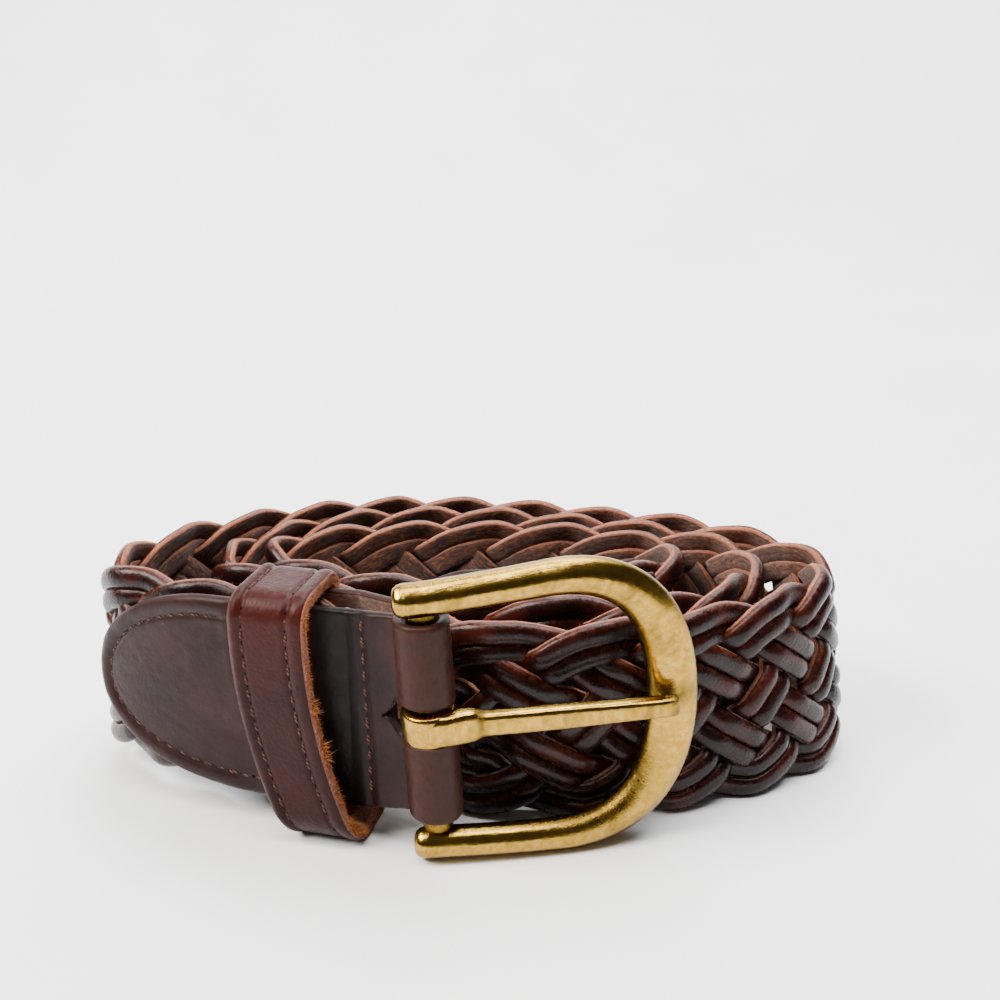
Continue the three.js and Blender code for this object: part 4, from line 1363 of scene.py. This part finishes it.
def make_prong():
    inner = bar_radius + bar_gap
    mid = inner + curl_thick / 2
    # Curl: a flat band with rounded edges that goes all the way round the bar.
    around, curl_sides = 44, 20
    section = []
    for a in np.linspace(0, 2 * math.pi, curl_sides, endpoint=False):
        c, s = math.cos(a), math.sin(a)
        section.append((np.sign(c) * abs(c) ** 0.45 * curl_width / 2,
                        np.sign(s) * abs(s) ** 0.7 * curl_thick / 2))
    section = np.array(section)
    rings, marks = [], []
    for k in range(around):
        a = 2 * math.pi * k / around
        out = np.array([math.cos(a), math.sin(a), 0])
        rings.append(out * (mid + section[:, 1:2]) + np.array([0, 0, 1]) * section[:, 0:1])
        edge = np.clip(np.abs(section[:, 0]) / curl_width * 2 - 0.7, 0, 1)
        marks.append(np.stack([np.full(curl_sides, a * mid), section[:, 0], edge], -1))
    points = np.array(rings).reshape(-1, 3)
    faces = ring_faces(around, curl_sides, closed_way=True)
    # Blade: it leaves the curl's front flush, narrows behind a shoulder, and runs to a square tip.
    toe_face = float(frame_depth(np.array([bow_reach]))[0]) - arm_deep / 2
    tip_x = bow_reach + prong_over_toe
    tip_y = toe_face - seat_gap - prong_deep / 2
    root_x = inner + curl_thick / 2
    # at: share of the way from the root. wide: across the blade. deep: share of its depth.
    stations = np.array((
        (-0.1, curl_width, 1), (0.07, curl_width, 1), (0.1, curl_width * 0.96, 1),
        (0.12, prong_wide * 1.14, 1), (0.145, prong_wide, 1), (0.5, prong_wide, 1),
        (0.9, prong_tip_wide, 0.95), (0.975, prong_tip_wide, 0.88),
        (0.99, prong_tip_wide * 0.93, 0.76), (1, prong_tip_wide * 0.78, 0.54),
    ))
    at = np.unique(np.concatenate([stations[:, 0], np.linspace(-0.1, 0.97, 70)]))
    wide = np.interp(at, stations[:, 0], stations[:, 1])
    deep = np.interp(at, stations[:, 0], stations[:, 2]) * prong_deep
    x = root_x + (tip_x - root_x) * at
    y = -prong_root_side + (tip_y + prong_root_side) * np.maximum(at, 0) ** prong_arch
    front = y - deep / 2
    curl_front = -(inner + curl_thick)
    front = front + (curl_front - front) * (1 - smoothstep(x, 0.5, 8.5))
    back = y + deep / 2
    sides = 24
    angle = 2 * math.pi * (np.arange(sides) + 0.5) / sides
    ring_w = np.sign(np.cos(angle)) * np.abs(np.cos(angle)) ** 0.55
    ring_d = np.sign(np.sin(angle)) * np.abs(np.sin(angle)) ** 0.6
    blade = []
    for i in range(len(at)):
        mid_y, half_deep = (front[i] + back[i]) / 2, (back[i] - front[i]) / 2
        blade.append(np.stack([np.full(sides, x[i]), mid_y - ring_d * half_deep, ring_w * wide[i] / 2], -1))
        wear = 0.8 * math.exp(-((at[i] - 0.13) / 0.02) ** 2) + 0.8 * float(smoothstep(at[i], 0.93, 0.99))
        wear = wear + 0.5 * np.clip(-np.sin(angle), 0, 1) + 0.35 * near(angle, 135, 0.3)
        marks.append(np.stack([np.full(sides, x[i]), angle * 2, np.clip(wear, 0, 1)], -1))
    faces += ring_faces(len(at), sides, len(points))
    everything = np.concatenate([points, np.array(blade).reshape(-1, 3)])
    piece = make_piece("prong_blade", lean_place(everything), faces, [brass],
                       marks=np.concatenate([m.reshape(-1, 3) for m in marks]))
    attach(piece, "prong")
    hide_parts("prong")


make_prong()


# Table and light

def set_table():
    """A white sheet that lies flat under the belt and curves up behind it."""
    half_width, front, flat, bend, top = 1600.0, -1200.0, 420.0, 500.0, 1500.0
    rows = [(front, 0.0), (flat, 0.0)]
    for t in np.radians(np.linspace(0, 90, 24)[1:]):
        rows.append((flat + bend * math.sin(t), bend * (1 - math.cos(t))))
    rows.append((flat + bend, top))
    points = [(x, y, z) for y, z in rows for x in (-half_width, half_width)]
    faces = [(2 * i, 2 * i + 1, 2 * i + 3, 2 * i + 2) for i in range(len(rows) - 1)]
    make_piece("white_sheet", points, faces, [matt_white_board()])


def add_softbox(name, place, aim, size, watts, colour):
    data = bpy.data.lights.new(name, "AREA")
    data.shape = "RECTANGLE"
    data.size, data.size_y = size
    data.energy = watts
    data.color = tint(colour)[:3]
    lamp = bpy.data.objects.new(name, data)
    lamp.location = place
    way = np.array(aim) - np.array(place)
    flat = math.hypot(way[0], way[1])
    lamp.rotation_euler = (math.atan2(flat, -way[2]), 0, math.atan2(way[1], way[0]) - math.pi / 2)
    bpy.context.scene.collection.objects.link(lamp)


def set_light():
    world = bpy.data.worlds.new("studio")
    world.use_nodes = True
    world.node_tree.nodes["Background"].inputs["Color"].default_value = tint("#f2f4f7")
    world.node_tree.nodes["Background"].inputs["Strength"].default_value = 0.1
    bpy.context.scene.world = world
    add_softbox("softbox_left", (-0.95, -0.3, 1.0), (0, 0, 0), (0.7, 0.5), 42.0, "#fffaf4")
    add_softbox("softbox_top", (0.25, 0.4, 1.25), (0, 0.1, 0), (1.1, 0.5), 34.0, "#f8fbff")
    add_softbox("softbox_backdrop", (0.0, -0.3, 1.7), (0, 1.0, 0.4), (1.4, 0.5), 44.0, "#ffffff")


set_table()
set_light()
